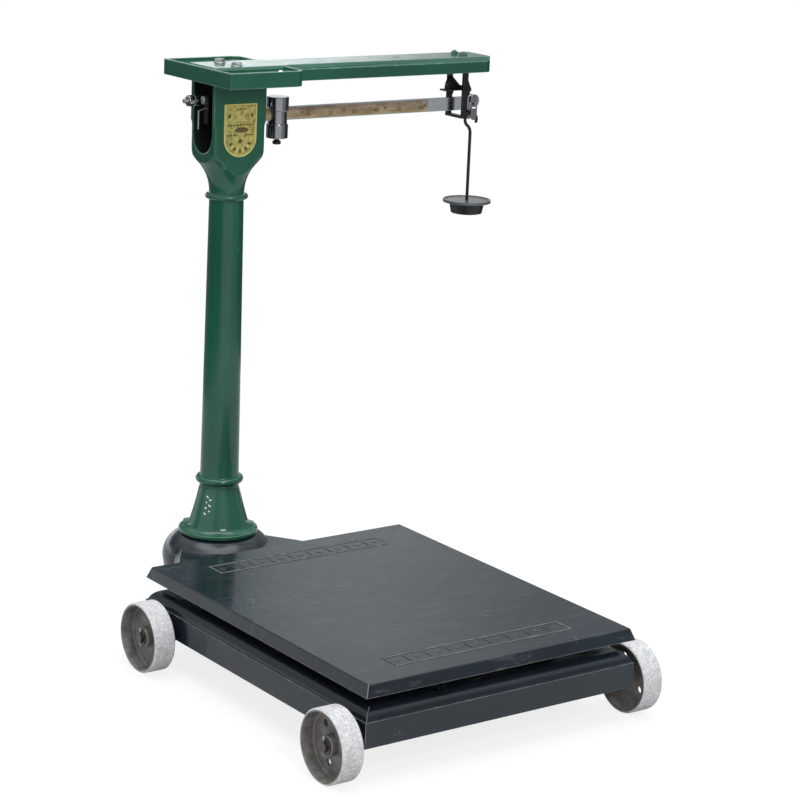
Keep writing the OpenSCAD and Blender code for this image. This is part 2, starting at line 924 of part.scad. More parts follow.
module beam_arm() {
    tongue_left = tray_right + gap - tongue_l;
    color([0.16, 0.35, 0.27]) at_column() difference() {
        union() {
            arm_piece(0);
            difference() {
                block([tongue_left, -arm_w / 2, tray_floor],
                    [tray_right + 2 * arm_t, arm_w / 2, arm_top]);
                for (side = [-1, 1]) translate([tongue_left, side * arm_w / 2, arm_top])
                    rotate([45, 0, 0])
                        cube([4 * arm_reach, tongue_bevel, tongue_bevel], center = true);
                translate([tongue_left, 0, arm_top]) rotate([0, 45, 0])
                    cube([tongue_bevel, 2 * arm_w, tongue_bevel], center = true);
            }
        }
        arm_piece(arm_t);
        for (side = [-1, 1]) {
            translate([cap_bolt_x, side * cap_bolt_y, arm_low])
                cylinder(r = cap_bolt_r, h = tray_h + cut + arm_t);
            translate([loop_x, side * loop_bolt_y, arm_low])
                cylinder(r = loop_bolt_r, h = tray_h + cut + arm_t);
        }
        translate([arm_hole_x, 0, arm_low]) cylinder(r = arm_hole_r, h = tray_h + cut + arm_t);
        translate([arm_hole_x, 0, arm_top - arm_sink_r + arm_hole_r])
            cylinder(r1 = arm_hole_r, r2 = arm_sink_r + cut, h = arm_sink_r - arm_hole_r + cut);
    }
}

module cap_bolts() {
    color([0.45, 0.47, 0.46]) at_column() for (side = [-1, 1])
        translate([cap_bolt_x, side * cap_bolt_y, arm_top + cap_washer_t]) {
            hexagon(cap_hex, cap_head_h);
            translate([0, 0, head_top - cap_bolt_in - arm_top - cap_washer_t])
                cylinder(r = cap_bolt_r, h = cap_bolt_in + arm_top - head_top + cap_washer_t + cut);
        }
}

module cap_washers() {
    color([0.45, 0.47, 0.46]) at_column() for (side = [-1, 1])
        translate([cap_bolt_x, side * cap_bolt_y, arm_top]) difference() {
            cylinder(r = cap_washer_r, h = cap_washer_t);
            translate([0, 0, -cut]) cylinder(r = cap_bolt_r, h = cap_washer_t + 2 * cut);
        }
}

module tray_screws() {
    color([0.7, 0.7, 0.68]) at_column() for (side = [-1, 1])
        translate([screw_x, side * screw_y, tray_floor]) {
            intersection() {
                translate([0, 0, screw_head_h - screw_dome_r]) sphere(screw_dome_r);
                cylinder(r = screw_head_r, h = screw_head_h);
            }
            translate([0, 0, -tray_plate]) cylinder(r = screw_r, h = tray_plate + cut);
        }
}

// The side view of one leg of the loop, with the ear that carries the latch pin.
module loop_leg() {
    difference() {
        union() {
            translate([loop_x - strap_w / 2, loop_low])
                square([strap_w, arm_under - loop_low]);
            translate([pin_x, pin_z]) circle(ear_r);
            polygon([
                [loop_x, pin_z + ear_up], [pin_x + ear_r * cos(40), pin_z + ear_r * sin(40)],
                [pin_x + ear_r * cos(40), pin_z - ear_r * sin(40)],
                [loop_x + strap_w / 2 - cut, pin_z - ear_down]
            ]);
        }
        translate([pin_x, pin_z]) circle(pin_r);
    }
}

module trig_loop() {
    color([0.07, 0.07, 0.08]) at_column() difference() {
        union() {
            for (side = [-1, 1]) {
                translate([0, side * loop_y, 0]) xz_plate(strap_t) loop_leg();
                translate([loop_x, side * (loop_out - loop_foot / 2), arm_under - strap_t / 2])
                    cube([strap_w, loop_foot, strap_t], center = true);
            }
            block([loop_x - strap_w / 2, -loop_out, loop_low],
                [loop_x + strap_w / 2, loop_out, loop_low + strap_t]);
        }
        for (side = [-1, 1]) translate([loop_x, side * loop_bolt_y, arm_low])
            cylinder(r = loop_bolt_r, h = tray_h);
    }
}

module loop_bolts() {
    color([0.35, 0.37, 0.36]) at_column() for (side = [-1, 1])
        translate([loop_x, side * loop_bolt_y, arm_under - strap_t - loop_head_h]) {
            cylinder(r = loop_head_r, h = loop_head_h);
            cylinder(r = loop_bolt_r, h = loop_head_h + strap_t + arm_t + loop_bolt_up);
        }
}

module loop_nuts() {
    color([0.35, 0.37, 0.36]) at_column() for (side = [-1, 1])
        translate([loop_x, side * loop_bolt_y, arm_top]) difference() {
            hexagon(loop_nut_w, loop_nut_h);
            translate([0, 0, -cut]) cylinder(r = loop_bolt_r, h = loop_nut_h + 2 * cut);
        }
}

module latch_pin() {
    color([0.2, 0.2, 0.21]) at_column() translate([pin_x, -loop_out, pin_z]) along_y() {
        cylinder(r = pin_r, h = 2 * loop_out + pin_head_t);
        translate([0, 0, -pin_head_t]) cylinder(r = pin_head_r, h = pin_head_t);
        translate([0, 0, 2 * loop_out]) cylinder(r = pin_r + 1.5, h = pin_head_t);
    }
}

// The latch's thumb fin: a straight back edge and a round front edge.
module fin_outline() {
    intersection() {
        translate([pin_x - fin_in, pin_z + fin_up]) circle(r = fin_r);
        translate([pin_x, pin_z + fin_foot]) rotate(fin_slope)
            translate([-3 * fin_r, -3 * fin_r]) square([3 * fin_r, 6 * fin_r]);
        translate([pin_x - latch_l, latch_low + cut]) square([latch_l, 2 * fin_r]);
    }
}

module latch() {
    color([0.07, 0.07, 0.08]) at_column() difference() {
        union() {
            block([pin_x - latch_l, -latch_w / 2, latch_low],
                [pin_x, latch_w / 2, latch_low + latch_plate_t]);
            xz_plate(fin_t) fin_outline();
            translate([pin_x, -loop_w / 2 + gap, pin_z]) along_y()
                cylinder(r = latch_hub_r, h = loop_w - 2 * gap);
        }
        translate([pin_x, -loop_w, pin_z]) along_y()
            cylinder(r = pin_r + run, h = 2 * loop_w);
    }
}

// The bar with its thick root, the horn for the balance screw and the round nose.
module beam_solid() {
    block([root_l, -root_t / 2, beam_z - beam_h / 2], [root_r, root_t / 2, beam_z + beam_h / 2]);
    block([root_l, -root_t / 2, beam_z],
        [root_l + horn_w, root_t / 2, beam_z + balance_up + horn_w / 2]);
    block([root_r - cut, -beam_t / 2, beam_z - beam_h / 2],
        [bar_end, beam_t / 2, beam_z + beam_h / 2]);
    xz_plate(beam_t) {
        translate([nose_x, nose_z]) circle(nose_r);
        polygon([
            [bar_end - cut, beam_z - beam_h / 2], [nose_x - 5, nose_z - nose_r + cut],
            [nose_x, nose_z + nose_r - 0.1], [bar_end - cut, beam_z + beam_h / 2]
        ]);
    }
}

module beam_bar() {
    color([0.62, 0.62, 0.6]) at_column() difference() {
        beam_solid();
        translate([fulcrum_x, 0, beam_z]) knife_y(fulcrum_knife_l, -1);
        translate([0, 0, beam_z]) knife_y(load_knife_l, 1);
        translate([end_x, 0, beam_z]) knife_y(end_knife_l, 1);
        translate([balance_end, 0, beam_z + balance_up]) along_x()
            cylinder(r = balance_rod_r, h = root_l + horn_w - balance_end + cut);
        rivet_row(2 * beam_t);
    }
}

module fulcrum_knife() {
    color([0.5, 0.5, 0.55]) at_column() translate([fulcrum_x, 0, beam_z])
        knife_y(fulcrum_knife_l, -1);
}

module load_knife() {
    color([0.5, 0.5, 0.55]) at_column() translate([0, 0, beam_z]) knife_y(load_knife_l, 1);
}

module end_knife() {
    color([0.5, 0.5, 0.55]) at_column() translate([end_x, 0, beam_z]) knife_y(end_knife_l, 1);
}

// The rivets that hold the graduated plate, as cylinders that end at the bar's back face.
module rivet_row(l) {
    step = (scale_r - scale_l - 2 * scale_rivet_in) / (scale_rivets - 1);
    for (i = [0 : scale_rivets - 1])
        translate([scale_l + scale_rivet_in + i * step, beam_t / 2 - l, beam_z]) along_y()
            cylinder(r = scale_rivet_r, h = l);
}

module scale_plate() {
    color([0.6, 0.5, 0.36]) at_column() difference() {
        block([scale_l, -beam_t / 2 - scale_t, beam_z - scale_h / 2],
            [scale_r, -beam_t / 2, beam_z + scale_h / 2]);
        rivet_row(2 * beam_t);
    }
}

module plate_rivets() {
    color([0.35, 0.28, 0.2]) at_column() rivet_row(beam_t + scale_t);
}

module balance_screw() {
    color([0.7, 0.7, 0.7]) at_column() translate([0, 0, beam_z + balance_up]) {
        translate([balance_end, 0, 0]) along_x()
            cylinder(r = balance_rod_r, h = root_l + horn_w - balance_end);
        translate([balance_end, 0, 0]) along_x() cylinder(r = balance_stop_r, h = 3);
        translate([root_l - balance_collar_l, 0, 0]) along_x()
            cylinder(r = balance_collar_r, h = balance_collar_l);
    }
}

module balance_nut() {
    r = balance_rod_r + run;
    color([0.8, 0.8, 0.8]) at_column()
        translate([balance_x - nut_l / 2, 0, beam_z + balance_up]) along_x() rotate_extrude()
            polygon([
                [r, 0], [nut_r - 1.5, 0], [nut_r, 1.5], [nut_r, nut_l - 1.5],
                [nut_r - 1.5, nut_l], [r, nut_l]
            ]);
}

module tail_wire() {
    run_x = root_l - wire_x;
    fall = wire_z - wire_drop_z;
    long = norm([run_x, fall]);
    color([0.75, 0.75, 0.75]) at_column() {
        translate([wire_x, 0, wire_drop_z]) rotate([0, atan2(run_x, fall), 0])
            cylinder(r = wire_r, h = long + cut);
        translate([wire_x, 0, wire_drop_z]) sphere(wire_r);
        translate([wire_x, 0, wire_low]) cylinder(r = wire_r, h = wire_drop_z - wire_low);
    }
}

// A round weight between two heights, with its edges cut at a slant.
module weight(r, low, high) {
    translate([0, 0, low]) rotate_extrude() polygon([
        [0, 0], [r - edge_cut, 0], [r, edge_cut], [r, high - low - edge_cut],
        [r - edge_cut, high - low], [0, high - low]
    ]);
}

module poise_upper() {
    color([0.8, 0.8, 0.82]) at_column() translate([poise_x, 0, 0]) difference() {
        union() {
            weight(poise_r, poise_step, poise_top);
            translate([0, 0, poise_join]) cylinder(r = waist_r, h = poise_step - poise_join + cut);
        }
        block([-2 * poise_r, -beam_t / 2 - scale_t - gap, beam_z - beam_h / 2 - gap],
            [2 * poise_r, beam_t / 2 + gap, beam_z + beam_h / 2 + gap]);
    }
}

module poise_lower() {
    color([0.8, 0.8, 0.82]) at_column() translate([poise_x, 0, 0]) difference() {
        weight(poise_low_r, poise_low, poise_join);
        translate([0, 0, poise_low - cut])
            cylinder(r = knob_stem_r + run, h = knob_stem_l + cut + gap);
    }
}

module poise_knob() {
    color([0.1, 0.1, 0.11]) at_column() translate([poise_x, 0, poise_low - knob_drop]) {
        weight(knob_r, -knob_h, 0);
        translate([0, 0, -cut]) cylinder(r = knob_stem_r, h = knob_stem_l + cut + knob_drop);
    }
}

// One side plate of a stirrup, drawn in X and Z with a window for the knife edge.
// The edge bears on the window's top (1) or bottom (-1).
module stirrup_plate(low, high, edge_z, up) {
    difference() {
        translate([-stirrup_w / 2, low]) square([stirrup_w, high - low]);
        translate([-window_w / 2, up > 0 ? edge_z + gap - window_h : edge_z - gap])
            square([window_w, window_h]);
    }
}

module load_stirrup() {
    color([0.3, 0.3, 0.32]) at_column() difference() {
        union() {
            for (side = [-1, 1]) translate([0, side * (stirrup_in + stirrup_t / 2), 0])
                xz_plate(stirrup_t) stirrup_plate(stirrup_low, stirrup_top, beam_z, 1);
            block([-stirrup_w / 2, -stirrup_in - stirrup_t, stirrup_low],
                [stirrup_w / 2, stirrup_in + stirrup_t, stirrup_low + stirrup_bar]);
        }
        translate([0, 0, stirrup_low - cut])
            cylinder(r = steel_rod_r, h = stirrup_bar + 2 * cut);
    }
}

module steelyard_rod() {
    low = tip_top - stirrup_bar - rod_head_h;
    high = stirrup_low + stirrup_bar + rod_head_h;
    color([0.4, 0.4, 0.42]) at_column() {
        translate([0, 0, low]) cylinder(r = steel_rod_r, h = high - low);
        translate([0, 0, low]) cylinder(r = rod_head_r, h = rod_head_h);
        translate([0, 0, high - rod_head_h]) cylinder(r = rod_head_r, h = rod_head_h);
    }
}

module tip_stirrup() {
    in = lever_w / 2 + 2;
    color([0.3, 0.3, 0.32]) at_column() difference() {
        union() {
            for (side = [-1, 1]) translate([side * (in + stirrup_t / 2), 0, 0])
                rotate([0, 0, 90]) xz_plate(stirrup_t)
                    stirrup_plate(tip_low, tip_top, long_z, -1);
            block([-in - stirrup_t, -stirrup_w / 2, tip_top - stirrup_bar],
                [in + stirrup_t, stirrup_w / 2, tip_top]);
        }
        translate([0, 0, tip_top - stirrup_bar - cut])
            cylinder(r = steel_rod_r, h = stirrup_bar + 2 * cut);
    }
}

// A lever's flat bar from a to b, centred on height 0.
module lever_bar(a, b) {
    translate([0, 0, -lever_t / 2]) linear_extrude(height = lever_t) strip(a, b, lever_w);
}

// One side of a lever: the straight bar with its two bosses, and the leg to a point.
module lever_side(end_point) {
    elbow = [knife_side, -load_y + elbow_in];
    lever_bar([knife_side, -fulcrum_out - boss_l / 2], elbow);
    for (y = [-fulcrum_out, -load_y]) translate([knife_side, y, 0])
        cube([boss_w, boss_l, lever_t], center = true);
    lever_bar(elbow, end_point);
    translate([elbow[0], elbow[1], 0]) cylinder(r = lever_w / 2, h = lever_t, center = true);
}

// The middle block that the link passes through.
module lever_ring() {
    cube([ring_w, ring_w, lever_t], center = true);
}

module lever_ring_hole() {
    cube([ring_hole_x, ring_hole_y, 2 * lever_t], center = true);
}

module long_lever() {
    join = [0, join_y];
    reach = knife_side * join_y / (join_y + load_y - elbow_in);
    color([0.25, 0.25, 0.27]) at_deck() difference() {
        translate([0, 0, long_z]) {
            lever_side(join);
            mirror([1, 0, 0]) lever_side(join);
            lever_bar([-reach, 0], [reach, 0]);
            lever_ring();
            lever_bar(join - [0, lever_w], [0, tip_y + boss_l / 2]);
        }
        translate([0, 0, long_z]) lever_ring_hole();
        long_knife_set();
    }
}

module long_knife_set() {
    for (side = [-1, 1]) {
        translate([side * knife_side, -fulcrum_out, long_z]) knife_x(lever_knife_l, -1);
        translate([side * knife_side, -load_y, long_z]) knife_x(lever_knife_l, 1);
    }
    translate([0, 0, long_z]) knife_x(ring_w, 1);
    translate([0, tip_y, long_z]) knife_x(tip_knife_l, -1);
}

module long_knives() {
    color([0.5, 0.5, 0.55]) at_deck() long_knife_set();
}

module short_lever() {
    apex = [ring_w / 2 - lever_w / 2, -ring_w / 2];
    color([0.25, 0.25, 0.27]) at_deck() difference() {
        rotate([0, 0, 180]) translate([0, 0, short_z]) {
            lever_side(apex);
            mirror([1, 0, 0]) lever_side(apex);
            lever_ring();
        }
        translate([0, 0, short_z]) lever_ring_hole();
        short_knife_set();
    }
}

module short_knife_set() {
    for (side = [-1, 1]) {
        translate([side * knife_side, fulcrum_out, short_z]) knife_x(lever_knife_l, -1);
        translate([side * knife_side, load_y, short_z]) knife_x(lever_knife_l, 1);
    }
    translate([0, 0, short_z]) knife_x(ring_w, -1);
}

module short_knives() {
    color([0.5, 0.5, 0.55]) at_deck() short_knife_set();
}

module lever_link() {
    high = long_z + gap + link_bar;
    low = short_z - gap - link_bar;
    color([0.3, 0.3, 0.32]) at_deck() yz_bar(link_w) difference() {
        translate([-link_in - link_t, low]) square([2 * (link_in + link_t), high - low]);
        translate([-link_in, low + link_bar])
            square([2 * link_in, high - low - 2 * link_bar]);
    }
}

// One side view of the deck: a skirt that leans in and a rounded upper edge.
module deck_profile(span) {
    top = span / 2 - skirt_lean;
    r = edge_round;
    polygon([
        [-span / 2, deck_low], [span / 2, deck_low], [top, deck_top - r],
        [top - r, deck_top - cut], [-top + r, deck_top - cut], [-top, deck_top - r]
    ]);
    translate([-top + r, deck_top - 2 * r]) square([2 * (top - r), 2 * r]);
    for (side = [-1, 1]) translate([side * (top - r), deck_top - r]) circle(r);
}

// The raised border of one bare strip, drawn in plan.
module strip_border() {
    difference() {
        square([strip_l, strip_w], center = true);
        square([strip_l - 2 * border_w, strip_w - 2 * border_w], center = true);
    }
}

module platform() {
    in_x = deck_w / 2 - skirt_t - skirt_lean;
    in_y = deck_l / 2 - skirt_t - skirt_lean;
    color([0.12, 0.14, 0.16]) at_deck() {
        difference() {
            intersection() {
                xz_plate(deck_l) deck_profile(deck_w);
                yz_bar(deck_w) deck_profile(deck_l);
            }
            block([-in_x, -in_y, deck_low - cut], [in_x, in_y, deck_under]);
        }
        for (x = rib_x)
            block([x - rib_w / 2, -in_y - cut, deck_under - rib_h],
                [x + rib_w / 2, in_y + cut, deck_under + cut]);
        for (y = rib_y)
            block([-in_x - cut, y - rib_w / 2, deck_under - rib_h],
                [in_x + cut, y + rib_w / 2, deck_under + cut]);
        for (side = [-1, 1])
            translate([0, side * (deck_l / 2 - strip_in), deck_top - cut])
                linear_extrude(height = cut + strip_rise) strip_border();
    }
}

// A forked foot over one load knife.
module deck_foot(z) {
    half = boss_w / 2 + side_gap;
    shoulder = z + lever_t / 2 + 2;
    block([-half - prong_w, -foot_l / 2, shoulder], [half + prong_w, foot_l / 2, deck_under]);
    for (side = [-1, 1])
        translate([side * (half + prong_w / 2), 0, (z + gap + shoulder + cut) / 2])
            cube([prong_w, foot_l, shoulder + cut - z - gap], center = true);
}

module platform_feet() {
    color([0.2, 0.2, 0.22]) at_deck() for (side = [-1, 1]) {
        translate([side * knife_side, -load_y, 0]) deck_foot(long_z);
        translate([side * knife_side, load_y, 0]) deck_foot(short_z);
    }
}

module end_stirrup() {
    y = end_plate_in + end_plate_t / 2;
    color([0.8, 0.8, 0.8]) at_column() translate([end_x, 0, 0]) {
        for (side = [-1, 1]) translate([0, side * y, 0]) xz_plate(end_plate_t) difference() {
            union() {
                translate([-end_plate_w / 2, end_pin_z])
                    square([end_plate_w, end_plate_top - end_pin_z]);
                translate([0, end_pin_z]) circle(end_plate_w / 2);
                translate([0, end_plate_top]) circle(end_plate_w / 2);
            }
            translate([-window_w / 2 + 1, beam_z + gap - window_h + 2])
                square([window_w - 2, window_h - 2]);
        }
        translate([0, -y - end_plate_t / 2, end_pin_z]) along_y()
            cylinder(r = end_pin_r, h = 2 * y + end_plate_t);
    }
}

// A round wire bent in the XZ plane: radius r, from angle a to angle b.
module bent_wire(r, a, b) {
    rotate([90, 0, 0]) rotate([0, 0, a]) rotate_extrude(angle = b - a) translate([r, 0])
        circle(rod_r);
}

module hanger_rod() {
    color([0.07, 0.07, 0.08]) at_column() {
        translate([end_x, 0, hook_z]) bent_wire(hook_r, hook_tail, hook_turn);
        translate([end_x - bend_r, 0, bend_z]) bent_wire(bend_r, 0, hook_turn - 180);
        translate([end_x + hook_r * cos(hook_turn), 0, hook_p]) sphere(rod_r + joint_more);
        translate([end_x, 0, bend_z]) sphere(rod_r + joint_more);
        translate([end_x + hook_r * cos(hook_tail), 0, hook_z + hook_r * sin(hook_tail)])
            sphere(rod_r);
        translate([end_x, 0, rod_low]) cylinder(r = rod_r, h = bend_z - rod_low);
    }
}

module hanger_disc() {
    color([0.07, 0.07, 0.08]) at_column() translate([end_x, 0, 0]) difference() {
        translate([0, 0, disc_low]) cylinder(r = disc_r, h = disc_t + disc_rim_h);
        translate([0, 0, disc_top])
            cylinder(r = disc_r - disc_rim_w, h = disc_rim_h + cut);
        translate([0, 0, disc_low - cut]) cylinder(r = rod_r, h = disc_t + 2 * cut);
    }
}

module hanger_cup() {
    color([0.07, 0.07, 0.08]) at_column() translate([end_x, 0, 0]) difference() {
        translate([0, 0, cup_low]) cylinder(r1 = cup_low_r, r2 = cup_top_r, h = cup_h);
        translate([0, 0, rod_low]) cylinder(r = rod_r, h = disc_low - rod_low + cut);
    }
}

base_frame();
fulcrum_stands();
front_axle();
rear_axle();
wheel_washers();
cotter_pins();
wheel_front_left();
wheel_front_right();
wheel_rear_left();
wheel_rear_right();
column_foot();
foot_bolts();
column();
head();
fulcrum_bearings();
label_plate();
cap_tray();
beam_arm();
cap_bolts();
cap_washers();
tray_screws();
trig_loop();
loop_bolts();
loop_nuts();
latch_pin();
latch();
beam_bar();
fulcrum_knife();
load_knife();
end_knife();
scale_plate();
plate_rivets();
balance_screw();
balance_nut();
tail_wire();
poise_upper();
poise_lower();
poise_knob();
load_stirrup();
steelyard_rod();
tip_stirrup();
long_lever();
long_knives();
short_lever();
short_knives();
lever_link();
platform();
platform_feet();
end_stirrup();
hanger_rod();
hanger_disc();
hanger_cup();
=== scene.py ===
# %% [markdown]
# # A platform scale with a weigh beam
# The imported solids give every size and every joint. This lesson dresses them: castings get soft
# edges and paint, turned parts are spun, and the small things that solids leave out are added.
# Lengths are in metres. X runs along the weigh beam, Y from the deck to the column, Z up.

# %% Load the frame
import json
import math

import bmesh
import bpy
from mathutils import Matrix, Vector
from mathutils.bvhtree import BVHTree


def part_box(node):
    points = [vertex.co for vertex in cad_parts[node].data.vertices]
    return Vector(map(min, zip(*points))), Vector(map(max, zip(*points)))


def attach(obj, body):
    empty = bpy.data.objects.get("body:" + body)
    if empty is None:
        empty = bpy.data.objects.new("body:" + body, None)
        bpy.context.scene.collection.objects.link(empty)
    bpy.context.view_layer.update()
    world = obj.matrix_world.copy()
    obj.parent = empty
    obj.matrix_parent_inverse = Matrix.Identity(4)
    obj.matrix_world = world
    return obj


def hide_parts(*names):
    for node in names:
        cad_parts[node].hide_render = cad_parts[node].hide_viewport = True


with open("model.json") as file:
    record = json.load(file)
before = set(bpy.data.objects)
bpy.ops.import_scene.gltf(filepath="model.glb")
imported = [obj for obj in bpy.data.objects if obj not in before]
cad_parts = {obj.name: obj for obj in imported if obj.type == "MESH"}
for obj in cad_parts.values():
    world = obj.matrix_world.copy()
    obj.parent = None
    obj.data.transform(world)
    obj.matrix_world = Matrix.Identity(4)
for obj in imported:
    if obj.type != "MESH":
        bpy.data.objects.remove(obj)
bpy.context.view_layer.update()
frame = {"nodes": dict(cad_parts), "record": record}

MM = 0.001
print("nodes in the frame:", len(frame["nodes"]))

# %% [markdown]
# ## Sums on sockets
# A material is a small graph. Written with nodes and links alone it soon hides what it says, so one
# class wraps a socket and lets Python's own operators add the Math nodes.

# %% Sockets that can be added and multiplied
class Wire:
    """One output in a graph of nodes."""

    def __init__(self, graph, socket):
        self.graph, self.socket = graph, socket

    def sum(self, operation, *values, clamp=False):
        settings = {"operation": operation, "use_clamp": clamp}
        return self.graph.node("Math", settings, dict(enumerate(values)))

    def __add__(self, other):
        return self.sum("ADD", self, other)

    def __rsub__(self, other):
        return self.sum("SUBTRACT", other, self)

    def __mul__(self, other):
        return self.sum("MULTIPLY", self, other)

    def spread(self, low, high, to_low=0.0, to_high=1.0):
        """Maps low to high onto another span, and holds it there."""
        values = {0: self, 1: low, 2: high, 3: to_low, 4: to_high}
        return self.graph.node("MapRange", {"clamp": True}, values)


class Graph:
    """The node tree of a material or of the world, emptied and filled anew."""

    def __init__(self, owner):
        owner.use_nodes = True
        self.nodes, self.links = owner.node_tree.nodes, owner.node_tree.links
        self.nodes.clear()

    def node(self, kind, settings=None, values=None, out=0):
        new = self.nodes.new("ShaderNode" + kind)
        for key, value in (settings or {}).items():
            setattr(new, key, value)
        for key, value in (values or {}).items():
            self.feed(new.inputs[key], value)
        return Wire(self, new.outputs[out] if len(new.outputs) else None)

    def feed(self, socket, value):
        if isinstance(value, Wire):
            self.links.new(value.socket, socket)
        else:
            socket.default_value = value

    def mix(self, factor, low, high):
        return self.node("Mix", {"data_type": "RGBA"}, {0: factor, 6: low, 7: high}, out=2)


class Finish(Graph):
    """A material that is built in words: noise, mixes and sums, on the object's own coordinates."""

    def __init__(self, name, **constants):
        self.material = bpy.data.materials.new(name)
        super().__init__(self.material)
        self.shader = self.nodes.new("ShaderNodeBsdfPrincipled")
        output = self.nodes.new("ShaderNodeOutputMaterial")
        self.links.new(self.shader.outputs[0], output.inputs["Surface"])
        for socket, value in constants.items():
            self.shader.inputs[socket.replace("_", " ")].default_value = value
        self.place = self.node("TexCoord", out="Object")

    def noise(self, scale, detail=2.0, stretch=None, rough=0.5):
        place = self.place
        if stretch:
            place = self.node("Mapping", None, {"Vector": place, "Scale": stretch})
        values = {"Vector": place, "Scale": scale, "Detail": detail, "Roughness": rough}
        return self.node("TexNoise", None, values)

    def axis(self, name):
        return self.node("SeparateXYZ", None, {0: self.place}, out=name)

    def own(self, attribute):
        return self.node("Attribute", {"attribute_name": attribute}, None, out="Fac")

    def set(self, **values):
        for socket, value in values.items():
            self.feed(self.shader.inputs[socket.replace("_", " ")], value)

    def bump(self, height, depth, strength=1.0):
        values = {"Strength": strength, "Distance": depth, "Height": height}
        self.set(Normal=self.node("Bump", None, values))


def rgb(red, green, blue):
    return (red, green, blue, 1.0)


print("a colour has four numbers:", rgb(0.5, 0.5, 0.5))

# %% [markdown]
# ## Enamel on cast iron
# The column, the head, the tray and the arm are sand castings under thick green enamel; the deck and
# the base are the same iron in blue-black. The enamel is smooth but follows the sand's grain, its
# tone drifts a little, and it is thin on sharp edges, where bare metal shows. Every sharp edge is also
# given a set share of the light tone, which is a painted highlight. The faces that a bevel makes carry
# the number "edge", so the wear and the painted highlight sit on real geometry and not on a guess.

# %% Painted castings
def enamel(name, tone, deep, wear_and_highlight_tone, gloss, grain, wear=0.5, least_edge_highlight=0.3, nicks=0.49, brushed=0.0,
           depth=0.0004, coat=0.1):
    paint = Finish(name, Coat_Roughness=0.06)
    drift = paint.noise(5.0, 3.0)
    grime = paint.noise(34.0, 4.0, rough=0.62)
    rub = paint.noise(42.0, 5.0, rough=0.72)
    colour = paint.mix(drift.spread(0.35, 0.65), deep, tone)
    colour = paint.mix(grime.spread(0.5, 0.78, 0.0, 0.4), colour, deep)
    nick = (paint.noise(250.0, 1.0) * paint.noise(19.0, 1.0)).spread(nicks, nicks + 0.012)
    # Every edge takes at least a set share of the light tone, which is a painted highlight. The noise
    # above that share is wear, and the nicks are chips.
    wear_and_edge_highlight = paint.own("edge") * rub.spread(wear - 0.08, wear + 0.12, least_edge_highlight, 0.85)
    wear_and_edge_highlight = wear_and_edge_highlight.sum("MAXIMUM", wear_and_edge_highlight, nick * 0.6)
    height = paint.noise(grain, 3.0, rough=0.6) * 0.35 + paint.noise(60.0, 2.0) * 0.9
    rough = grime.spread(0.3, 0.8, gloss - 0.04, gloss + 0.1) + wear_and_edge_highlight * 0.15
    if brushed:
        strokes = paint.noise(9.0, 5.0, (1.0, 13.0, 1.0), 0.75)
        rough = rough + strokes.spread(0.45, 0.75, 0.0, brushed)
        height = height + strokes * 0.5
        colour = paint.mix(strokes.spread(0.55, 0.8, 0.0, 0.25), colour, wear_and_highlight_tone)
    # Faces marked as the fork's inside get painted shade: a near-black green and more roughness.
    fork_shade = paint.own("fork_shade")
    colour = paint.mix(fork_shade, colour, rgb(0.004, 0.008, 0.006))
    rough = rough + fork_shade * 0.3
    paint.set(
        Base_Color=paint.mix(wear_and_edge_highlight, colour, wear_and_highlight_tone),
        Roughness=rough,
        Coat_Weight=coat - wear_and_edge_highlight * coat,
    )
    paint.bump(height, depth, 0.5)
    return paint.material


# The light tones are worn metal and, on every edge, a painted highlight.
GREEN_WEAR_AND_HIGHLIGHT, IRON_WEAR_AND_HIGHLIGHT = rgb(0.22, 0.38, 0.31), rgb(0.25, 0.26, 0.27)
GREEN, GREEN_DEEP = rgb(0.015, 0.105, 0.058), rgb(0.011, 0.078, 0.044)
BLUE, BLUE_DEEP = rgb(0.011, 0.017, 0.025), rgb(0.007, 0.011, 0.016)
green = enamel("green enamel", GREEN, GREEN_DEEP, GREEN_WEAR_AND_HIGHLIGHT, gloss=0.14, grain=420.0, wear=0.6,
               nicks=0.53, depth=0.00016)
green_bolt = enamel("green enamel on bolts", rgb(0.08, 0.19, 0.14), rgb(0.05, 0.13, 0.09),
                    rgb(0.45, 0.5, 0.46), gloss=0.2, grain=600.0, wear=0.45)
dark = enamel("blue-black enamel", BLUE, BLUE_DEEP, IRON_WEAR_AND_HIGHLIGHT, gloss=0.2, grain=380.0, wear=0.56)
deck_paint = enamel("deck enamel", BLUE, BLUE_DEEP, IRON_WEAR_AND_HIGHLIGHT, gloss=0.13, grain=300.0, wear=0.56,
                    least_edge_highlight=0.42, nicks=0.5, brushed=0.1)
black = enamel("black enamel", rgb(0.0085, 0.0085, 0.0095), rgb(0.005, 0.005, 0.006),
               rgb(0.08, 0.08, 0.08), gloss=0.3, grain=300.0, wear=0.7, least_edge_highlight=0.1, nicks=0.62,
               coat=0.0, depth=0.00004)
disc_paint = enamel("rubbed black enamel", rgb(0.13, 0.13, 0.132), rgb(0.09, 0.09, 0.091),
                    rgb(0.06, 0.06, 0.06), gloss=0.14, grain=500.0, depth=0.00015)
print("enamels:", green.name, dark.name, deck_paint.name, black.name)

# %% [markdown]
# ## Bare iron and steel
# The wheels are unpainted iron: a light, rough tread that has run on concrete, and brown-grey webs.
# The levers under the deck have only a primer. Steel parts are turned, ground or plated, and each
# kind scatters light in its own way, so they differ in roughness and in the direction of the grain.

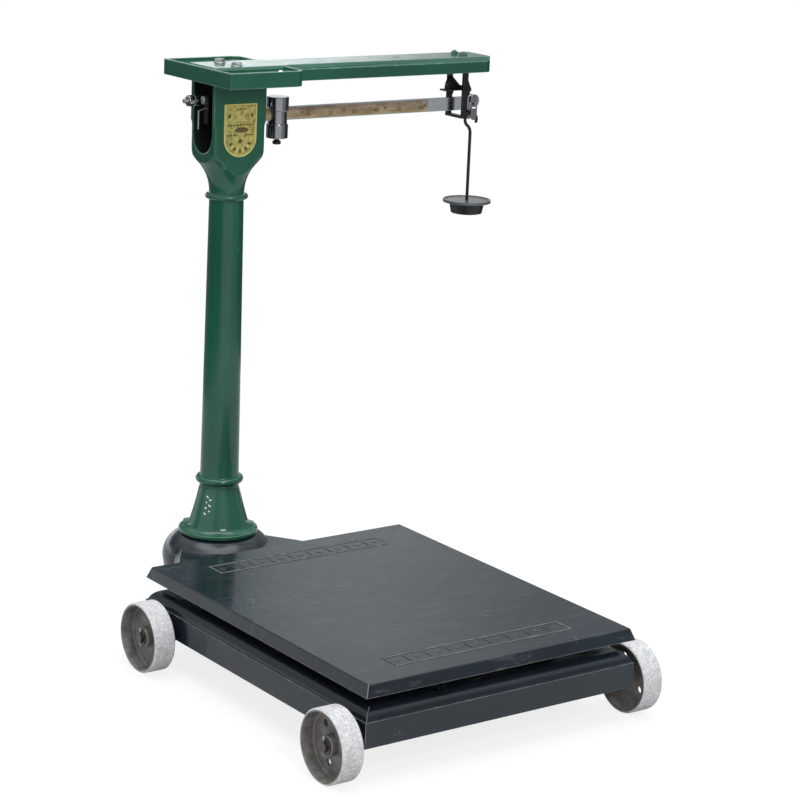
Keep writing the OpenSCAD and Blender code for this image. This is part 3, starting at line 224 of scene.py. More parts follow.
# %% Iron
def iron(name, tone, deep, rust, rough, grain, depth):
    cast = Finish(name, Specular_IOR_Level=0.4)
    patch = cast.noise(26.0, 5.0, rough=0.65)
    sand = cast.noise(grain, 4.0, rough=0.65)
    colour = cast.mix(patch.spread(0.35, 0.65), deep, tone)
    colour = cast.mix(cast.noise(48.0, 4.0).spread(0.56, 0.7, 0.0, 0.55), colour, rust)
    colour = cast.mix(cast.own("edge") * 0.35, colour, rgb(0.32, 0.31, 0.30))
    cast.set(Base_Color=colour, Metallic=0.25, Roughness=sand.spread(0.3, 0.7, rough - 0.08, rough))
    cast.bump(sand + cast.noise(grain * 0.3, 2.0) * 0.8, depth)
    return cast.material


raw_iron = iron("primed iron", rgb(0.085, 0.08, 0.078), rgb(0.05, 0.046, 0.044),
                rgb(0.09, 0.055, 0.035), rough=0.7, grain=420.0, depth=0.0006)
print("for the levers, the link and the stands:", raw_iron.name)

# %% [markdown]
# ## The wheels' iron
# A wheel wears light where it runs and stays brown where it doesn't. Two materials would need a
# seam on the rim. One material with a number on the faces, "tread", changes tone and roughness at
# the very edge of the rim, as the real casting does.

# %% One iron with two tones
def wheel_finish(tread_at):
    """The tread is light and pitted; inside it the same casting is dark and brownish."""
    cast = Finish("wheel iron", Specular_IOR_Level=0.35)
    patch = cast.noise(40.0, 5.0, rough=0.7)
    pits = cast.noise(330.0, 4.0, rough=0.7)
    chips = cast.noise(190.0, 5.0, rough=0.8)
    web = cast.mix(patch.spread(0.35, 0.7), rgb(0.13, 0.12, 0.11), rgb(0.30, 0.275, 0.255))
    web = cast.mix(cast.own("edge") * 0.5, web, rgb(0.25, 0.235, 0.22))
    tread = cast.mix(chips.spread(0.3, 0.6), rgb(0.36, 0.352, 0.35), rgb(0.72, 0.71, 0.72))
    tread = cast.mix(patch.spread(0.5, 0.75, 0.0, 0.6), tread, rgb(0.40, 0.39, 0.385))
    on_tread = cast.own(tread_at)
    cast.set(
        Base_Color=cast.mix(on_tread, web, tread),
        Metallic=0.15,
        Roughness=on_tread.spread(0.0, 1.0, 0.5, 0.78),
    )
    cast.bump(pits * 0.5 + chips * on_tread * 1.2, 0.0008)
    return cast.material


wheel_iron = wheel_finish("tread")
print("for the four wheels:", wheel_iron.name)

# %% [markdown]
# ## Steel and brass
# Zinc plate is dull and cloudy, chrome is nearly a mirror, the beam is ground along its length. They
# are all a metal with one tone and fine lines, so one function makes them. It stretches its noise
# along the way that the tool went, browns the bar's root, and darkens the poise's flat top, which is
# a painted dark reflection.

# %% Steel in several finishes
def steel(name, tone, rough, stretch=None, grain=300.0, stain=0.25, depth=0.0001, browned=None):
    """A bar can be browned up to a place along it, as a forged root is."""
    bar = Finish(name, Metallic=1.0)
    lines = bar.noise(grain, 3.0, stretch)
    smear = bar.noise(45.0, 4.0, rough=0.6)
    dull = tuple(0.45 * c for c in tone[:3]) + (1.0,)
    colour = bar.mix(smear.spread(0.45, 0.8, 0.0, stain), tone, dull)
    # Faces marked top get a near-black tone, a painted dark reflection on the poise's flat top.
    colour = bar.mix(bar.own("top") * 0.85, colour, rgb(0.035, 0.033, 0.033))
    if browned is not None:
        root = bar.axis("X").spread(browned - 0.01, browned, 1.0, 0.0)
        colour = bar.mix(root, colour, rgb(0.07, 0.062, 0.055))
    bar.set(
        Base_Color=colour,
        Roughness=lines.spread(0.3, 0.7, rough - 0.05, rough + 0.08),
    )
    bar.bump(lines, depth)
    return bar.material


zinc = steel("zinc plate", rgb(0.55, 0.56, 0.56), 0.34, stain=0.5)
hard_steel = steel("ground steel", rgb(0.42, 0.42, 0.45), 0.28, (1.0, 14.0, 1.0))
chrome = steel("chrome plate", rgb(0.40, 0.395, 0.41), 0.12, (1.0, 1.0, 0.05), 500.0, 0.35)
beam_steel = steel("polished beam steel", rgb(0.80, 0.81, 0.83), 0.14, (0.05, 1.0, 1.0), 400.0,
                   browned=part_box("scale_plate")[0].x - 0.02)
axle_steel = steel("oily axle steel", rgb(0.16, 0.145, 0.135), 0.38, stain=0.6)
rivet_brass = steel("dark brass", rgb(0.2, 0.13, 0.075), 0.4)
screw_steel = steel("bright screw", rgb(0.8, 0.81, 0.8), 0.2, stain=0.1)
print("steels:", zinc.name, hard_steel.name, chrome.name, beam_steel.name)

# %% [markdown]
# ## The plates
# The graduated plate is brass that hands have browned, more so along its upper side. The shield is a
# gilt print with dark spots in it. Both are mixes of clouds of noise; the shield's also reads two
# numbers from its faces, "raised" and "printed", which its relief carries.

# %% Brown brass, gold plate and ink
def brown_brass(plate_low, plate_high):
    plate = Finish("brown brass", Metallic=0.55)
    smear = plate.noise(70.0, 4.0, (0.25, 1.0, 1.0), 0.65)
    rise = plate.axis("Z").spread(plate_low, plate_high)
    low_tone = plate.mix(smear.spread(0.4, 0.62), rgb(0.42, 0.30, 0.15), rgb(0.60, 0.48, 0.30))
    top_tone = plate.mix(smear.spread(0.4, 0.62), rgb(0.22, 0.15, 0.11), rgb(0.40, 0.31, 0.24))
    colour = plate.mix(rise, low_tone, top_tone)
    plate.set(Base_Color=colour, Roughness=smear.spread(0.3, 0.7, 0.4, 0.55))
    plate.bump(plate.noise(600.0, 2.0, (0.05, 1.0, 1.0)), 0.0001)
    return plate.material


def gold_plate():
    plate = Finish("gold plate", Coat_Roughness=0.2)
    cloud = plate.noise(95.0, 4.0, rough=0.7)
    spots = plate.noise(230.0, 3.0, rough=0.6)
    ground = plate.mix(cloud.spread(0.4, 0.62), rgb(0.38, 0.31, 0.085), rgb(0.62, 0.56, 0.17))
    ground = plate.mix(spots.spread(0.57, 0.64, 0.0, 0.75), ground, rgb(0.12, 0.085, 0.03))
    colour = plate.mix(plate.own("raised"), ground, rgb(0.66, 0.62, 0.2))
    plate.set(
        Base_Color=plate.mix(plate.own("printed") * 0.9, colour, rgb(0.09, 0.06, 0.02)),
        Metallic=0.3,
        Roughness=cloud.spread(0.3, 0.7, 0.32, 0.45),
        Coat_Weight=cloud.spread(0.3, 0.7, 0.05, 0.2),
    )
    plate.bump(spots, 0.0002)
    return plate.material


plate_low, plate_high = (corner.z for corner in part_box("scale_plate"))
scale_brass = brown_brass(plate_low, plate_high)
gold = gold_plate()
ink = Finish("dark filling", Roughness=0.5)
ink.set(Base_Color=ink.mix(ink.noise(200.0), rgb(0.03, 0.02, 0.014), rgb(0.06, 0.04, 0.03)))
print("plates:", scale_brass.name, gold.name, ink.material.name)

# %% [markdown]
# ## From a bmesh to a piece of the object
# Every new piece goes through one function. It recalculates the normals, hands the mesh a material,
# keeps hard corners sharp and flat faces flat, and ties the piece to its body.

# %% One way to make a piece
pieces = {}


def make(name, bm, body, material, replaces=(), smooth=38.0, even=True):
    bmesh.ops.recalc_face_normals(bm, faces=bm.faces)
    mesh = bpy.data.meshes.new(name)
    bm.to_mesh(mesh)
    bm.free()
    mesh.materials.append(material)
    mesh.polygons.foreach_set("use_smooth", [True] * len(mesh.polygons))
    mesh.set_sharp_from_angle(angle=math.radians(smooth))
    piece = bpy.data.objects.new(name, mesh)
    bpy.context.scene.collection.objects.link(piece)
    if even:
        piece.modifiers.new("flat faces stay flat", "WEIGHTED_NORMAL").keep_sharp = True
    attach(piece, body)
    if replaces:
        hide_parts(*replaces)
    pieces[name] = piece
    return piece


print("pieces made so far:", len(pieces))

# %% [markdown]
# ## Castings and forgings
# A casting has no knife-sharp corner: the sand rounds it and the paint fills it. Each of these pieces
# starts as a copy of its solid. The copy is welded, its flat faces are made whole, and every sharp
# edge gets a small bevel, which is what catches the light along the real one.

# %% Soften the edges of a solid
WELD = 0.002 * MM
FLAT = math.radians(0.4)
UPRIGHT_LEAST = 8 * MM


def middle(node):
    low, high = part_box(node)
    return (low + high) / 2


def size_of(node):
    low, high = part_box(node)
    return high - low


def heights(node):
    """A node's lowest and highest point in millimetres, as the profiles need them."""
    return [corner.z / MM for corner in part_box(node)]


def solid_copy(node):
    bm = bmesh.new()
    bm.from_mesh(frame["nodes"][node].data)
    bmesh.ops.remove_doubles(bm, verts=bm.verts, dist=WELD)
    bmesh.ops.dissolve_limit(bm, angle_limit=FLAT, verts=bm.verts, edges=bm.edges)
    return bm


def soften(bm, width, segments=2, sharper_than=28.0):
    """Bevels the sharp edges and marks the new faces of the outward ones with 1 in "edge"."""
    limit = math.radians(sharper_than)
    sharp = [e for e in bm.edges if len(e.link_faces) == 2 and e.calc_face_angle(0.0) > limit]
    edge = bm.faces.layers.float.get("edge") or bm.faces.layers.float.new("edge")
    made = bmesh.ops.bevel(
        bm, geom=sharp, offset=width, offset_type="OFFSET", segments=segments, profile=0.5,
        affect="EDGES", material=-1, clamp_overlap=False, loop_slide=True,
    )
    for face in made["faces"]:
        bend = sum(e.calc_face_angle_signed(0.0) * e.calc_length() for e in face.edges)
        face[edge] = 1.0 if bend > 0 else 0.0
    return bm


def round_corners(bm, node, width):
    """Rounds the upright edges at a casting's outer corners."""
    low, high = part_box(node)

    def chosen(e):
        a, b = (v.co for v in e.verts)
        upright = (a - b).xy.length < 0.1 * MM and abs(a.z - b.z) > UPRIGHT_LEAST
        return upright and all(min(a[i] - low[i], high[i] - a[i]) < MM for i in (0, 1))

    edges = [e for e in bm.edges if chosen(e)]
    bmesh.ops.bevel(bm, geom=edges, offset=width, offset_type="OFFSET", segments=4, profile=0.5,
                    affect="EDGES", material=-1, clamp_overlap=False)
    print(node, "corners rounded:", len(edges))
    return bm


print("flat means under", round(math.degrees(FLAT), 1), "degrees")

# %% [markdown]
# ## Which casting gets which edge
# The record says on which body each node rides. A thick casting has a rounder edge than a forged
# strap, so the table gives each piece its finish and its bevel in millimetres. The arm and the tray
# also have rounder corners where they are seen from above.

# %% Make the castings and forgings
body_of = {n: b for b, names in frame["record"]["behaviour"]["bodies"].items() for n in names}
castings = {
    "base_frame": (dark, 1.0), "platform": (deck_paint, 1.2), "cap_tray": (green, 1.5),
    "beam_arm": (green, 1.2),
    "trig_loop": (black, 0.5), "latch": (black, 0.7), "latch_pin": (black, 0.4),
    "hanger_disc": (disc_paint, 0.7), "hanger_cup": (black, 1.2), "hanger_rod": (black, 0.3),
    "beam_bar": (beam_steel, 0.5), "end_stirrup": (chrome, 0.4), "load_stirrup": (raw_iron, 0.5),
    "tip_stirrup": (raw_iron, 0.5), "lever_link": (raw_iron, 0.5), "long_lever": (raw_iron, 0.9),
    "short_lever": (raw_iron, 0.9), "platform_feet": (raw_iron, 0.8),
    "fulcrum_stands": (raw_iron, 0.8), "fulcrum_bearings": (hard_steel, 0.4),
    "front_axle": (axle_steel, 0.3), "rear_axle": (axle_steel, 0.3),
    "wheel_washers": (axle_steel, 0.3),
    "steelyard_rod": (zinc, 0.4), "balance_screw": (zinc, 0.3), "tail_wire": (zinc, 0.15),
}
rounder = {"beam_arm": 3.5, "cap_tray": 3.0}
for node, (material, width) in castings.items():
    bm = solid_copy(node)
    if node in rounder:
        bm = round_corners(bm, node, rounder[node] * MM)
    bm = soften(bm, width * MM)
    piece = make(node + ".cast", bm, body_of[node], material, (node,))
    print(node, "faces", len(piece.data.polygons))

# %% [markdown]
# The head and the foot have no sharp line at all between flat and round: the pattern maker filled
# every corner. A bevel cannot blend a plane into a flare, so here the skin is rebuilt from small
# squares and relaxed a few times. What bends outwards afterwards is marked as an edge.

# %% Relax the skin of a casting
FORK_UP = 115 * MM
SOFTER = 12
EDGE_BEND, EDGE_SPAN = 0.07, 0.1


def small_squares(node, square):
    """A copy of a solid whose whole skin is made of small squares."""
    mesh = bpy.data.meshes.new("skin")
    bm = solid_copy(node)
    bm.to_mesh(mesh)
    bm.free()
    skin = bpy.data.objects.new("skin", mesh)
    bpy.context.scene.collection.objects.link(skin)
    remesh = skin.modifiers.new("small squares", "REMESH")
    remesh.mode, remesh.voxel_size = "VOXEL", square
    bpy.context.view_layer.update()
    bm = bmesh.new()
    bm.from_mesh(skin.evaluated_get(bpy.context.evaluated_depsgraph_get()).to_mesh())
    bpy.data.objects.remove(skin)
    return bm


def smooth_out(bm, verts, rounds):
    for _ in range(rounds):
        bmesh.ops.smooth_vert(bm, verts=verts, factor=0.5, use_axis_x=True, use_axis_y=True,
                              use_axis_z=True)


def relaxed(node, square, rounds, soft_from=0.0, soft_to=0.0, gap=0.0):
    """Heights are from the casting's foot; gap is half the width of the fork, whose inside is marked
    for painted shade.
    """
    bm = small_squares(node, square)
    smooth_out(bm, bm.verts, rounds)
    foot, centre_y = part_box(node)[0].z, middle(node).y
    soft = [v for v in bm.verts if soft_from < v.co.z - foot < soft_to
            and abs(v.co.y - centre_y) > gap]
    if soft:
        smooth_out(bm, soft, SOFTER * rounds)
    # Vertices within the fork's gap, down to its rounded floor, are marked for painted shade.
    fork_shade = bm.verts.layers.float.new("fork_shade")
    for v in bm.verts if gap else []:
        below = max(foot + FORK_UP - v.co.z, 0.0)
        v[fork_shade] = 1.0 if math.hypot(v.co.y - centre_y, below) < gap else 0.0
    bm.normal_update()
    edge = bm.verts.layers.float.new("edge")
    for v in bm.verts:
        around = [(v.co - e.other_vert(v).co).normalized().dot(v.normal) for e in v.link_edges]
        bend = sum(around) / max(len(around), 1)
        v[edge] = min(max((bend - EDGE_BEND) / EDGE_SPAN, 0.0), 1.0)
    return bm


skins = {"head": (1.5 * MM, 6, 0.055, 0.14, 0.0358), "column_foot": (1.3 * MM, 6)}
for node, sizes in skins.items():
    piece = make(node + ".cast", relaxed(node, *sizes), "base", green, (node,), 180,
                 even=False)
    print(node, "faces", len(piece.data.polygons))

# %% [markdown]
# ## Knives
# The beam and the levers rock on hardened knife edges. They are ground sharp and must not be
# rounded, so the solids themselves stay and only their material is changed.

# %% Knives keep their edges
knives = ("fulcrum_knife", "load_knife", "end_knife", "long_knives", "short_knives")
for node in knives:
    frame["nodes"][node].data.materials.clear()
    frame["nodes"][node].data.materials.append(hard_steel)
print("sets of knives:", len(knives))

# %% [markdown]
# ## The column
# The tube tapers a little and has a half-round ring near each end. It was turned in its pattern, so
# it is a profile spun about the axis, which is far smoother than the facets of the solid.

# %% Spin a profile
def turned(profile, place, along=(0, 0, 1), steps=96):
    """Spins a list of (radius, distance along the axis) pairs in millimetres about an axis."""
    bm = bmesh.new()
    points = [bm.verts.new((r * MM, 0, h * MM)) for r, h in profile]
    edges = [bm.edges.new(pair) for pair in zip(points, points[1:])]
    bmesh.ops.spin(bm, geom=points + edges, cent=(0, 0, 0), axis=(0, 0, 1), steps=steps,
                   angle=math.tau, use_merge=True)
    bmesh.ops.remove_doubles(bm, verts=bm.verts, dist=1e-6)
    turn = Vector((0, 0, 1)).rotation_difference(Vector(along)).to_matrix().to_4x4()
    bmesh.ops.transform(bm, matrix=Matrix.Translation(place) @ turn, verts=bm.verts)
    return bm


def arc(r, h, radius, start, end, steps=8):
    """Points on a round, for a profile: its centre, its radius and two angles in degrees."""
    angles = [math.radians(start + (end - start) * i / steps) for i in range(steps + 1)]
    return [(r + radius * math.cos(a), h + radius * math.sin(a)) for a in angles]


axis_x, axis_y = middle("column").x, middle("column").y
low, high = heights("column")
TUBE_LOW_R, TUBE_TOP_R, TUBE_BORE = 39.5, 34.3, 28.0
TUBE_STEP = 40


def tube_radius(z):
    return TUBE_LOW_R + (TUBE_TOP_R - TUBE_LOW_R) * (z - low) / (high - low)


def ring(z, size):
    """A half-round ring with a small hollow where it leaves the tube."""
    r = tube_radius(z)
    return [(r, z - size - 1.5), (r + 0.9, z - size)] + arc(r + 2.4, z, size, -78, 78, 12) + [
        (r + 0.9, z + size), (r, z + size + 1.5)]


profile = [(TUBE_BORE, low), (TUBE_LOW_R - 0.6, low), (TUBE_LOW_R, low + 0.6)]
profile += ring(low + 9.0, 7.0)
profile += [(tube_radius(z), z)
            for z in range(int(low) + TUBE_STEP, int(high) - 30, TUBE_STEP)]
profile += ring(high - 8.0, 6.0)
profile += [(TUBE_TOP_R, high), (TUBE_BORE, high), (TUBE_BORE, low)]
column = make("column.tube", turned(profile, (axis_x, axis_y, 0)), "base", green,
              ("column",), 50)
print("column height in mm:", round(high - low, 1), "faces", len(column.data.polygons))

# %% [markdown]
# ## Wheels
# Each wheel is one iron casting: a wide rim, a dished web with three holes, and a hub. The copy of
# the solid already has the holes. Its tread faces are marked, so that the finish can tell the light,
# worn running surface from the brown iron inside.

# %% Wheels with marked treads
TREAD_DEEP = 3.2 * MM
for node in ("wheel_front_left", "wheel_front_right", "wheel_rear_left", "wheel_rear_right"):
    bm = soften(solid_copy(node), 0.7 * MM)
    tread = bm.faces.layers.float.new("tread")
    centre = middle(node)
    radius = size_of(node).z / 2
    for face in bm.faces:
        away = (face.calc_center_median() - centre).yz.length
        face[tread] = 1.0 if away > radius - TREAD_DEEP else 0.0
    make(node + ".cast", bm, body_of[node], wheel_iron, (node,))
    print(node, "radius in mm", round(radius / MM, 1))

# %% [markdown]
# ## The poise, the balance nut and the knob
# The sliding weight is turned brass under chrome, in two parts that screw together over the beam.
# Its upper part is slotted for the bar, so it is a softened copy; the rest are spun profiles. Its
# flat top is painted dark, which is a painted dark reflection.

# %% Turned weights
bm = soften(solid_copy("poise_upper"), 0.35 * MM)
# Faces that look straight up are marked top, for a painted dark reflection.
top = bm.faces.layers.float.new("top")
for face in bm.faces:
    face[top] = 1.0 if face.normal.z > 0.9 else 0.0
make("poise_upper.turned", bm, "poise", chrome, ("poise_upper",))

poise_x = middle("poise_lower").x
low, high = heights("poise_lower")
radius = size_of("poise_lower").x / 2 / MM
rise = high - low
SOCKET_R, SOCKET_DEEP, NUT_BORE = 4.1, 12, 3.08
profile = [(0, SOCKET_DEEP), (SOCKET_R, SOCKET_DEEP), (SOCKET_R, 0), (radius - 1.4, 0)]
profile += [(radius - 0.3, 0.4), (radius, 1.3), (radius, rise - 1.3), (radius - 0.3, rise - 0.4)]
profile += [(radius - 1.4, rise), (0, rise)]
make("poise_lower.turned", turned(profile, (poise_x, axis_y, low * MM)), "poise", chrome,
     ("poise_lower",), 30)

low, high = heights("poise_knob")
end = high - low - 0.2
profile = [(0, 0), (6.4, 0), (8.0, 0.7), (8.5, 2.0), (8.5, 5.6), (7.4, 7.4), (5.0, 8.6),
           (4.4, 11.0), (4.0, 11.2), (4.0, end), (0, end)]
make("poise_knob.turned", turned(profile, (poise_x, axis_y, low * MM), steps=64), "poise_lock",
     black, ("poise_knob",), 30)

nut = middle("balance_nut")
size = size_of("balance_nut") / MM
half, outer = size.x / 2, size.z / 2
profile = [(NUT_BORE, -half), (outer - 1.6, -half), (outer - 0.4, -half + 0.6), (outer, -half + 1.8)]
profile += [(outer, -1.6), (outer - 0.9, -1.0), (outer - 0.9, 1.0), (outer, 1.6)]
profile += [(outer, half - 1.8), (outer - 0.4, half - 0.6), (outer - 1.6, half)]
profile += [(NUT_BORE, half), (NUT_BORE, -half)]
make("balance_nut.turned", turned(profile, nut, (1, 0, 0), 64), "balance_weight", chrome,
     ("balance_nut",), 30)
print("poise at x", round(poise_x, 4), "nut at x", round(nut.x, 4))

# %% [markdown]
# ## Bolts, nuts and washers
# A hexagon head is a six-sided prism whose corners are turned off. A six-sided cone primitive with a
# bevel round its top face is that shape.

# %% Hexagon heads
def hexagon(flats, height, place, chamfer=1.2, turn=0.0):
    bm = bmesh.new()
    radius = flats / math.sqrt(3) * MM
    bmesh.ops.create_cone(bm, cap_ends=True, segments=6, radius1=radius, radius2=radius,
                          depth=height * MM)
    top = [e for e in bm.edges if all(v.co.z > 0 for v in e.verts)]
    bmesh.ops.bevel(bm, geom=top, offset=chamfer * MM, segments=2, profile=0.5, affect="EDGES",
                    material=-1)
    move = Matrix.Translation(Vector(place) + Vector((0, 0, height * MM / 2)))
    bmesh.ops.transform(bm, matrix=move @ Matrix.Rotation(turn, 4, "Z"), verts=bm.verts)
    return bm


def joined(*parts):
    """Puts several bmeshes into the first one."""
    first = parts[0]
    for part in parts[1:]:
        mesh = bpy.data.meshes.new("part")
        part.to_mesh(mesh)
        part.free()
        first.from_mesh(mesh)
        bpy.data.meshes.remove(mesh)
    return first


def rod(radius, low_z, high_z, x, y, tip=0.6):
    """A plain round shank with a small chamfer at its top."""
    profile = [(0, 0), (radius, 0), (radius, (high_z - low_z) - tip),
               (radius - tip, high_z - low_z), (0, high_z - low_z)]
    return turned(profile, (x, y, low_z * MM), steps=32)


def pairs_of(node, spread_y):
    """Where the two bolts of a node stand."""
    centre = middle(node)
    return [(centre.x, centre.y + side * spread_y * MM) for side in (-1, 1)]


CAP_SPREAD, LOOP_SPREAD = 31.0, 15.0
print("the tray's bolts stand at y", [round(y, 4) for _, y in pairs_of("cap_bolts", CAP_SPREAD)])

# %% [markdown]
# ## Bolts of the tray and the loop
# Two zinc-plated bolts with washers hold the arm on the tray, and two small ones, painted over in
# green, hold the trig loop. Nobody lines up the corners of bolt heads, so each one is turned a
# little differently. The shanks are spun profiles.

# %% Bolts, washers and nuts
CAP_HEAD = 6
low, high = heights("cap_bolts")
parts = []
for i, (x, y) in enumerate(pairs_of("cap_bolts", CAP_SPREAD)):
    parts.append(hexagon(18, CAP_HEAD, (x, y, (high - CAP_HEAD) * MM), 1.6, 0.3 + 0.5 * i))
    parts.append(rod(6.0, low, high - 5, x, y))
make("cap_bolts.forged", joined(*parts), "base", zinc, ("cap_bolts",), 30)

low, high = heights("cap_washers")
profile = [(6.0, 0), (11.4, 0), (12, 0.5), (12, high - low - 0.5), (11.4, high - low),
           (6.0, high - low), (6.0, 0)]
parts = [turned(profile, (x, y, low * MM), steps=48)
         for x, y in pairs_of("cap_washers", CAP_SPREAD)]
make("cap_washers.turned", joined(*parts), "base", zinc,
     ("cap_washers",), 30)

low, high = heights("loop_nuts")
parts = []
for i, (x, y) in enumerate(pairs_of("loop_nuts", LOOP_SPREAD)):
    parts.append(hexagon(15, high - low, (x, y, low * MM), 0.8, 0.4 * i))
make("loop_nuts.forged", joined(*parts), "base", green_bolt, ("loop_nuts",), 30)

low, high = heights("loop_bolts")
parts = []
for x, y in pairs_of("loop_bolts", LOOP_SPREAD):
    parts.append(rod(4.0, low, high, x, y, 0.9))
    head = [(0, 0), (4.5, 0), (6.0, 1.0), (6.5, 2.4), (6.5, 4.5), (0, 4.5)]
    parts.append(turned(head, (x, y, low * MM), steps=48))
make("loop_bolts.forged", joined(*parts), "base", green_bolt,
     ("loop_bolts",), 30)
print("loop bolts from", round(low, 1), "to", round(high, 1), "mm")

# %% [markdown]
# ## Bolts of the foot
# The column stands on the base with two large bolts, on opposite sides of its axis. They go through
# the lugs of the foot, so their places come from the lugs' circle and its turn.

# %% The two foot bolts
low, high = heights("foot_bolts")
parts = []
FOOT_TURN, LUG_CIRCLE, FOOT_HEAD = math.radians(-35.0), 61 * MM, 8
for side in (0, 1):
    angle = FOOT_TURN + side * math.pi
    x = axis_x + LUG_CIRCLE * math.cos(angle)
    y = axis_y + LUG_CIRCLE * math.sin(angle)
    parts.append(hexagon(22, FOOT_HEAD, (x, y, (high - FOOT_HEAD) * MM), 1.8, angle))
    parts.append(rod(6.0, low, high - 7, x, y))
make("foot_bolts.forged", joined(*parts), "base", green_bolt,
     ("foot_bolts",), 30)
print("foot bolts stand apart in mm:", round(2 * LUG_CIRCLE / MM))

# %% [markdown]
# ## Paint marks on the foot
# Somebody dabbed an inspector's marks on the foot in white paint. They are plain dabs here, in two
# columns. A ray towards the column's axis finds the skin, so each dab lies on the real slope.

# %% Dabs of white paint
white_paint = Finish("white dabs", Roughness=0.5)
chalk = white_paint.noise(300.0, 3.0)
white_paint.set(Base_Color=white_paint.mix(chalk, rgb(0.45, 0.52, 0.48), rgb(0.85, 0.86, 0.84)))
skin = BVHTree.FromPolygons([v.co for v in pieces["column_foot.cast"].data.vertices],
                            [p.vertices for p in pieces["column_foot.cast"].data.polygons])
foot_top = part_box("column_foot")[1].z
DABS, FIRST_DAB, DAB_STEP = 7, 22, 5.5
parts = []
for i in range(DABS):
    angle = math.radians(207 + 9 * (i % 2))
    out = Vector((math.cos(angle), math.sin(angle), 0))
    start = Vector((axis_x, axis_y, foot_top - (FIRST_DAB + DAB_STEP * i) * MM)) + out * 0.12
    spot, normal = skin.ray_cast(start, -out)[:2]
    bm = bmesh.new()
    bmesh.ops.create_uvsphere(bm, u_segments=16, v_segments=8, radius=1.0)
    stand = normal.to_track_quat("Z", "Y").to_matrix().to_4x4()
    size = Matrix.Diagonal(((3.6 - 0.8 * (i % 3)) * MM, 1.7 * MM, 0.35 * MM, 1.0))
    lean = Matrix.Rotation(0.5 * (i % 3 - 1), 4, "Z")
    bmesh.ops.transform(bm, matrix=Matrix.Translation(spot) @ stand @ lean @ size, verts=bm.verts)
    parts.append(bm)
make("column_foot.dabs", joined(*parts), "base", white_paint.material)
print("dabs of paint:", DABS)

# %% [markdown]
# ## Round-headed screws
# Two small screws stand on the tray's floor. Each head is the cap of a ball with a slot across it. The
# slot is made by cutting the dome with planes and pressing the strip between them down.

# %% Slotted domes
DOME_R, DOME_SUNK = 7.0 * MM, 4.0 * MM
SLOT_HALF, SLOT_FLOOR = 0.6 * MM, 5.6 * MM


def slotted_screw(x, y, floor_z, turn):
    bm = bmesh.new()
    bmesh.ops.create_uvsphere(bm, u_segments=32, v_segments=16, radius=DOME_R)
    everything = bm.verts[:] + bm.edges[:] + bm.faces[:]
    bmesh.ops.bisect_plane(bm, geom=everything, plane_co=(0, 0, DOME_SUNK), plane_no=(0, 0, -1),
                           clear_outer=True)
    for side in (-1, 1):
        everything = bm.verts[:] + bm.edges[:] + bm.faces[:]
        bmesh.ops.bisect_plane(bm, geom=everything, plane_co=(side * SLOT_HALF, 0, 0),
                               plane_no=(1, 0, 0))
    strip = [f for f in bm.faces if abs(f.calc_center_median().x) < SLOT_HALF * 0.9]
    pressed = bmesh.ops.extrude_face_region(bm, geom=strip)
    lowered = [v for v in pressed["geom"] if isinstance(v, bmesh.types.BMVert)]
    bmesh.ops.delete(bm, geom=strip, context="FACES")
    for v in lowered:
        v.co.z = min(v.co.z, SLOT_FLOOR)
    rim = [e for e in bm.edges if e.is_boundary]
    bmesh.ops.holes_fill(bm, edges=rim, sides=0)
    move = Matrix.Translation((x, y, floor_z - DOME_SUNK)) @ Matrix.Rotation(turn, 4, "Z")
    bmesh.ops.transform(bm, matrix=move, verts=bm.verts)
    return bm


low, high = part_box("tray_screws")
screw_y = size_of("tray_screws").y / 2 - 5.0 * MM
centre = middle("tray_screws")
parts = []
for side in (-1, 1):
    y = centre.y + side * screw_y
    parts.append(slotted_screw(centre.x, y, high.z - 3 * MM, 0.6 * side))
    parts.append(rod(3.0, low.z / MM, high.z / MM - 2.5, centre.x, y, 0.1))
make("tray_screws.slotted", joined(*parts), "base", screw_steel,
     ("tray_screws",), 30)
print("the screws stand apart in mm:", round(2 * screw_y / MM, 1))

# %% [markdown]
# ## The graduated plate
# The plate on the beam's face is brown brass with etched marks that are filled dark. A mark is a thin
# bar that lies half in the plate's face; every tenth one is longer and has a plain number.

# %% Plate, marks and numbers
bm = soften(solid_copy("scale_plate"), 0.3 * MM)
make("scale_plate.etched", bm, "weigh_beam", scale_brass,
     ("scale_plate",))
low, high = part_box("scale_plate")
face_y = low.y
PROUD = 0.12 * MM


def mark(x, top, length, width):
    bm = bmesh.new()
    bmesh.ops.create_cube(bm, size=1.0)
    bmesh.ops.scale(bm, vec=(width * MM, 2 * PROUD, length * MM), verts=bm.verts)
    bmesh.ops.translate(bm, vec=(x, face_y, top - length * MM / 2), verts=bm.verts)
    return bm


def numeral(words, x, z, size):
    """A built-in font's figures, made a mesh and laid on the plate's face."""
    curve = bpy.data.curves.new("figures", "FONT")
    curve.body, curve.size, curve.align_x = words, size * MM, "CENTER"
    curve.extrude = PROUD
    figure = bpy.data.objects.new("figures", curve)
    bpy.context.scene.collection.objects.link(figure)
    bpy.context.view_layer.update()
    evaluated = figure.evaluated_get(bpy.context.evaluated_depsgraph_get())
    bm = bmesh.new()
    bm.from_mesh(evaluated.to_mesh())
    bpy.data.objects.remove(figure)
    stand = Matrix.Translation((x, face_y, z)) @ Matrix.Rotation(math.pi / 2, 4, "X")
    bmesh.ops.transform(bm, matrix=stand, verts=bm.verts)
    return bm


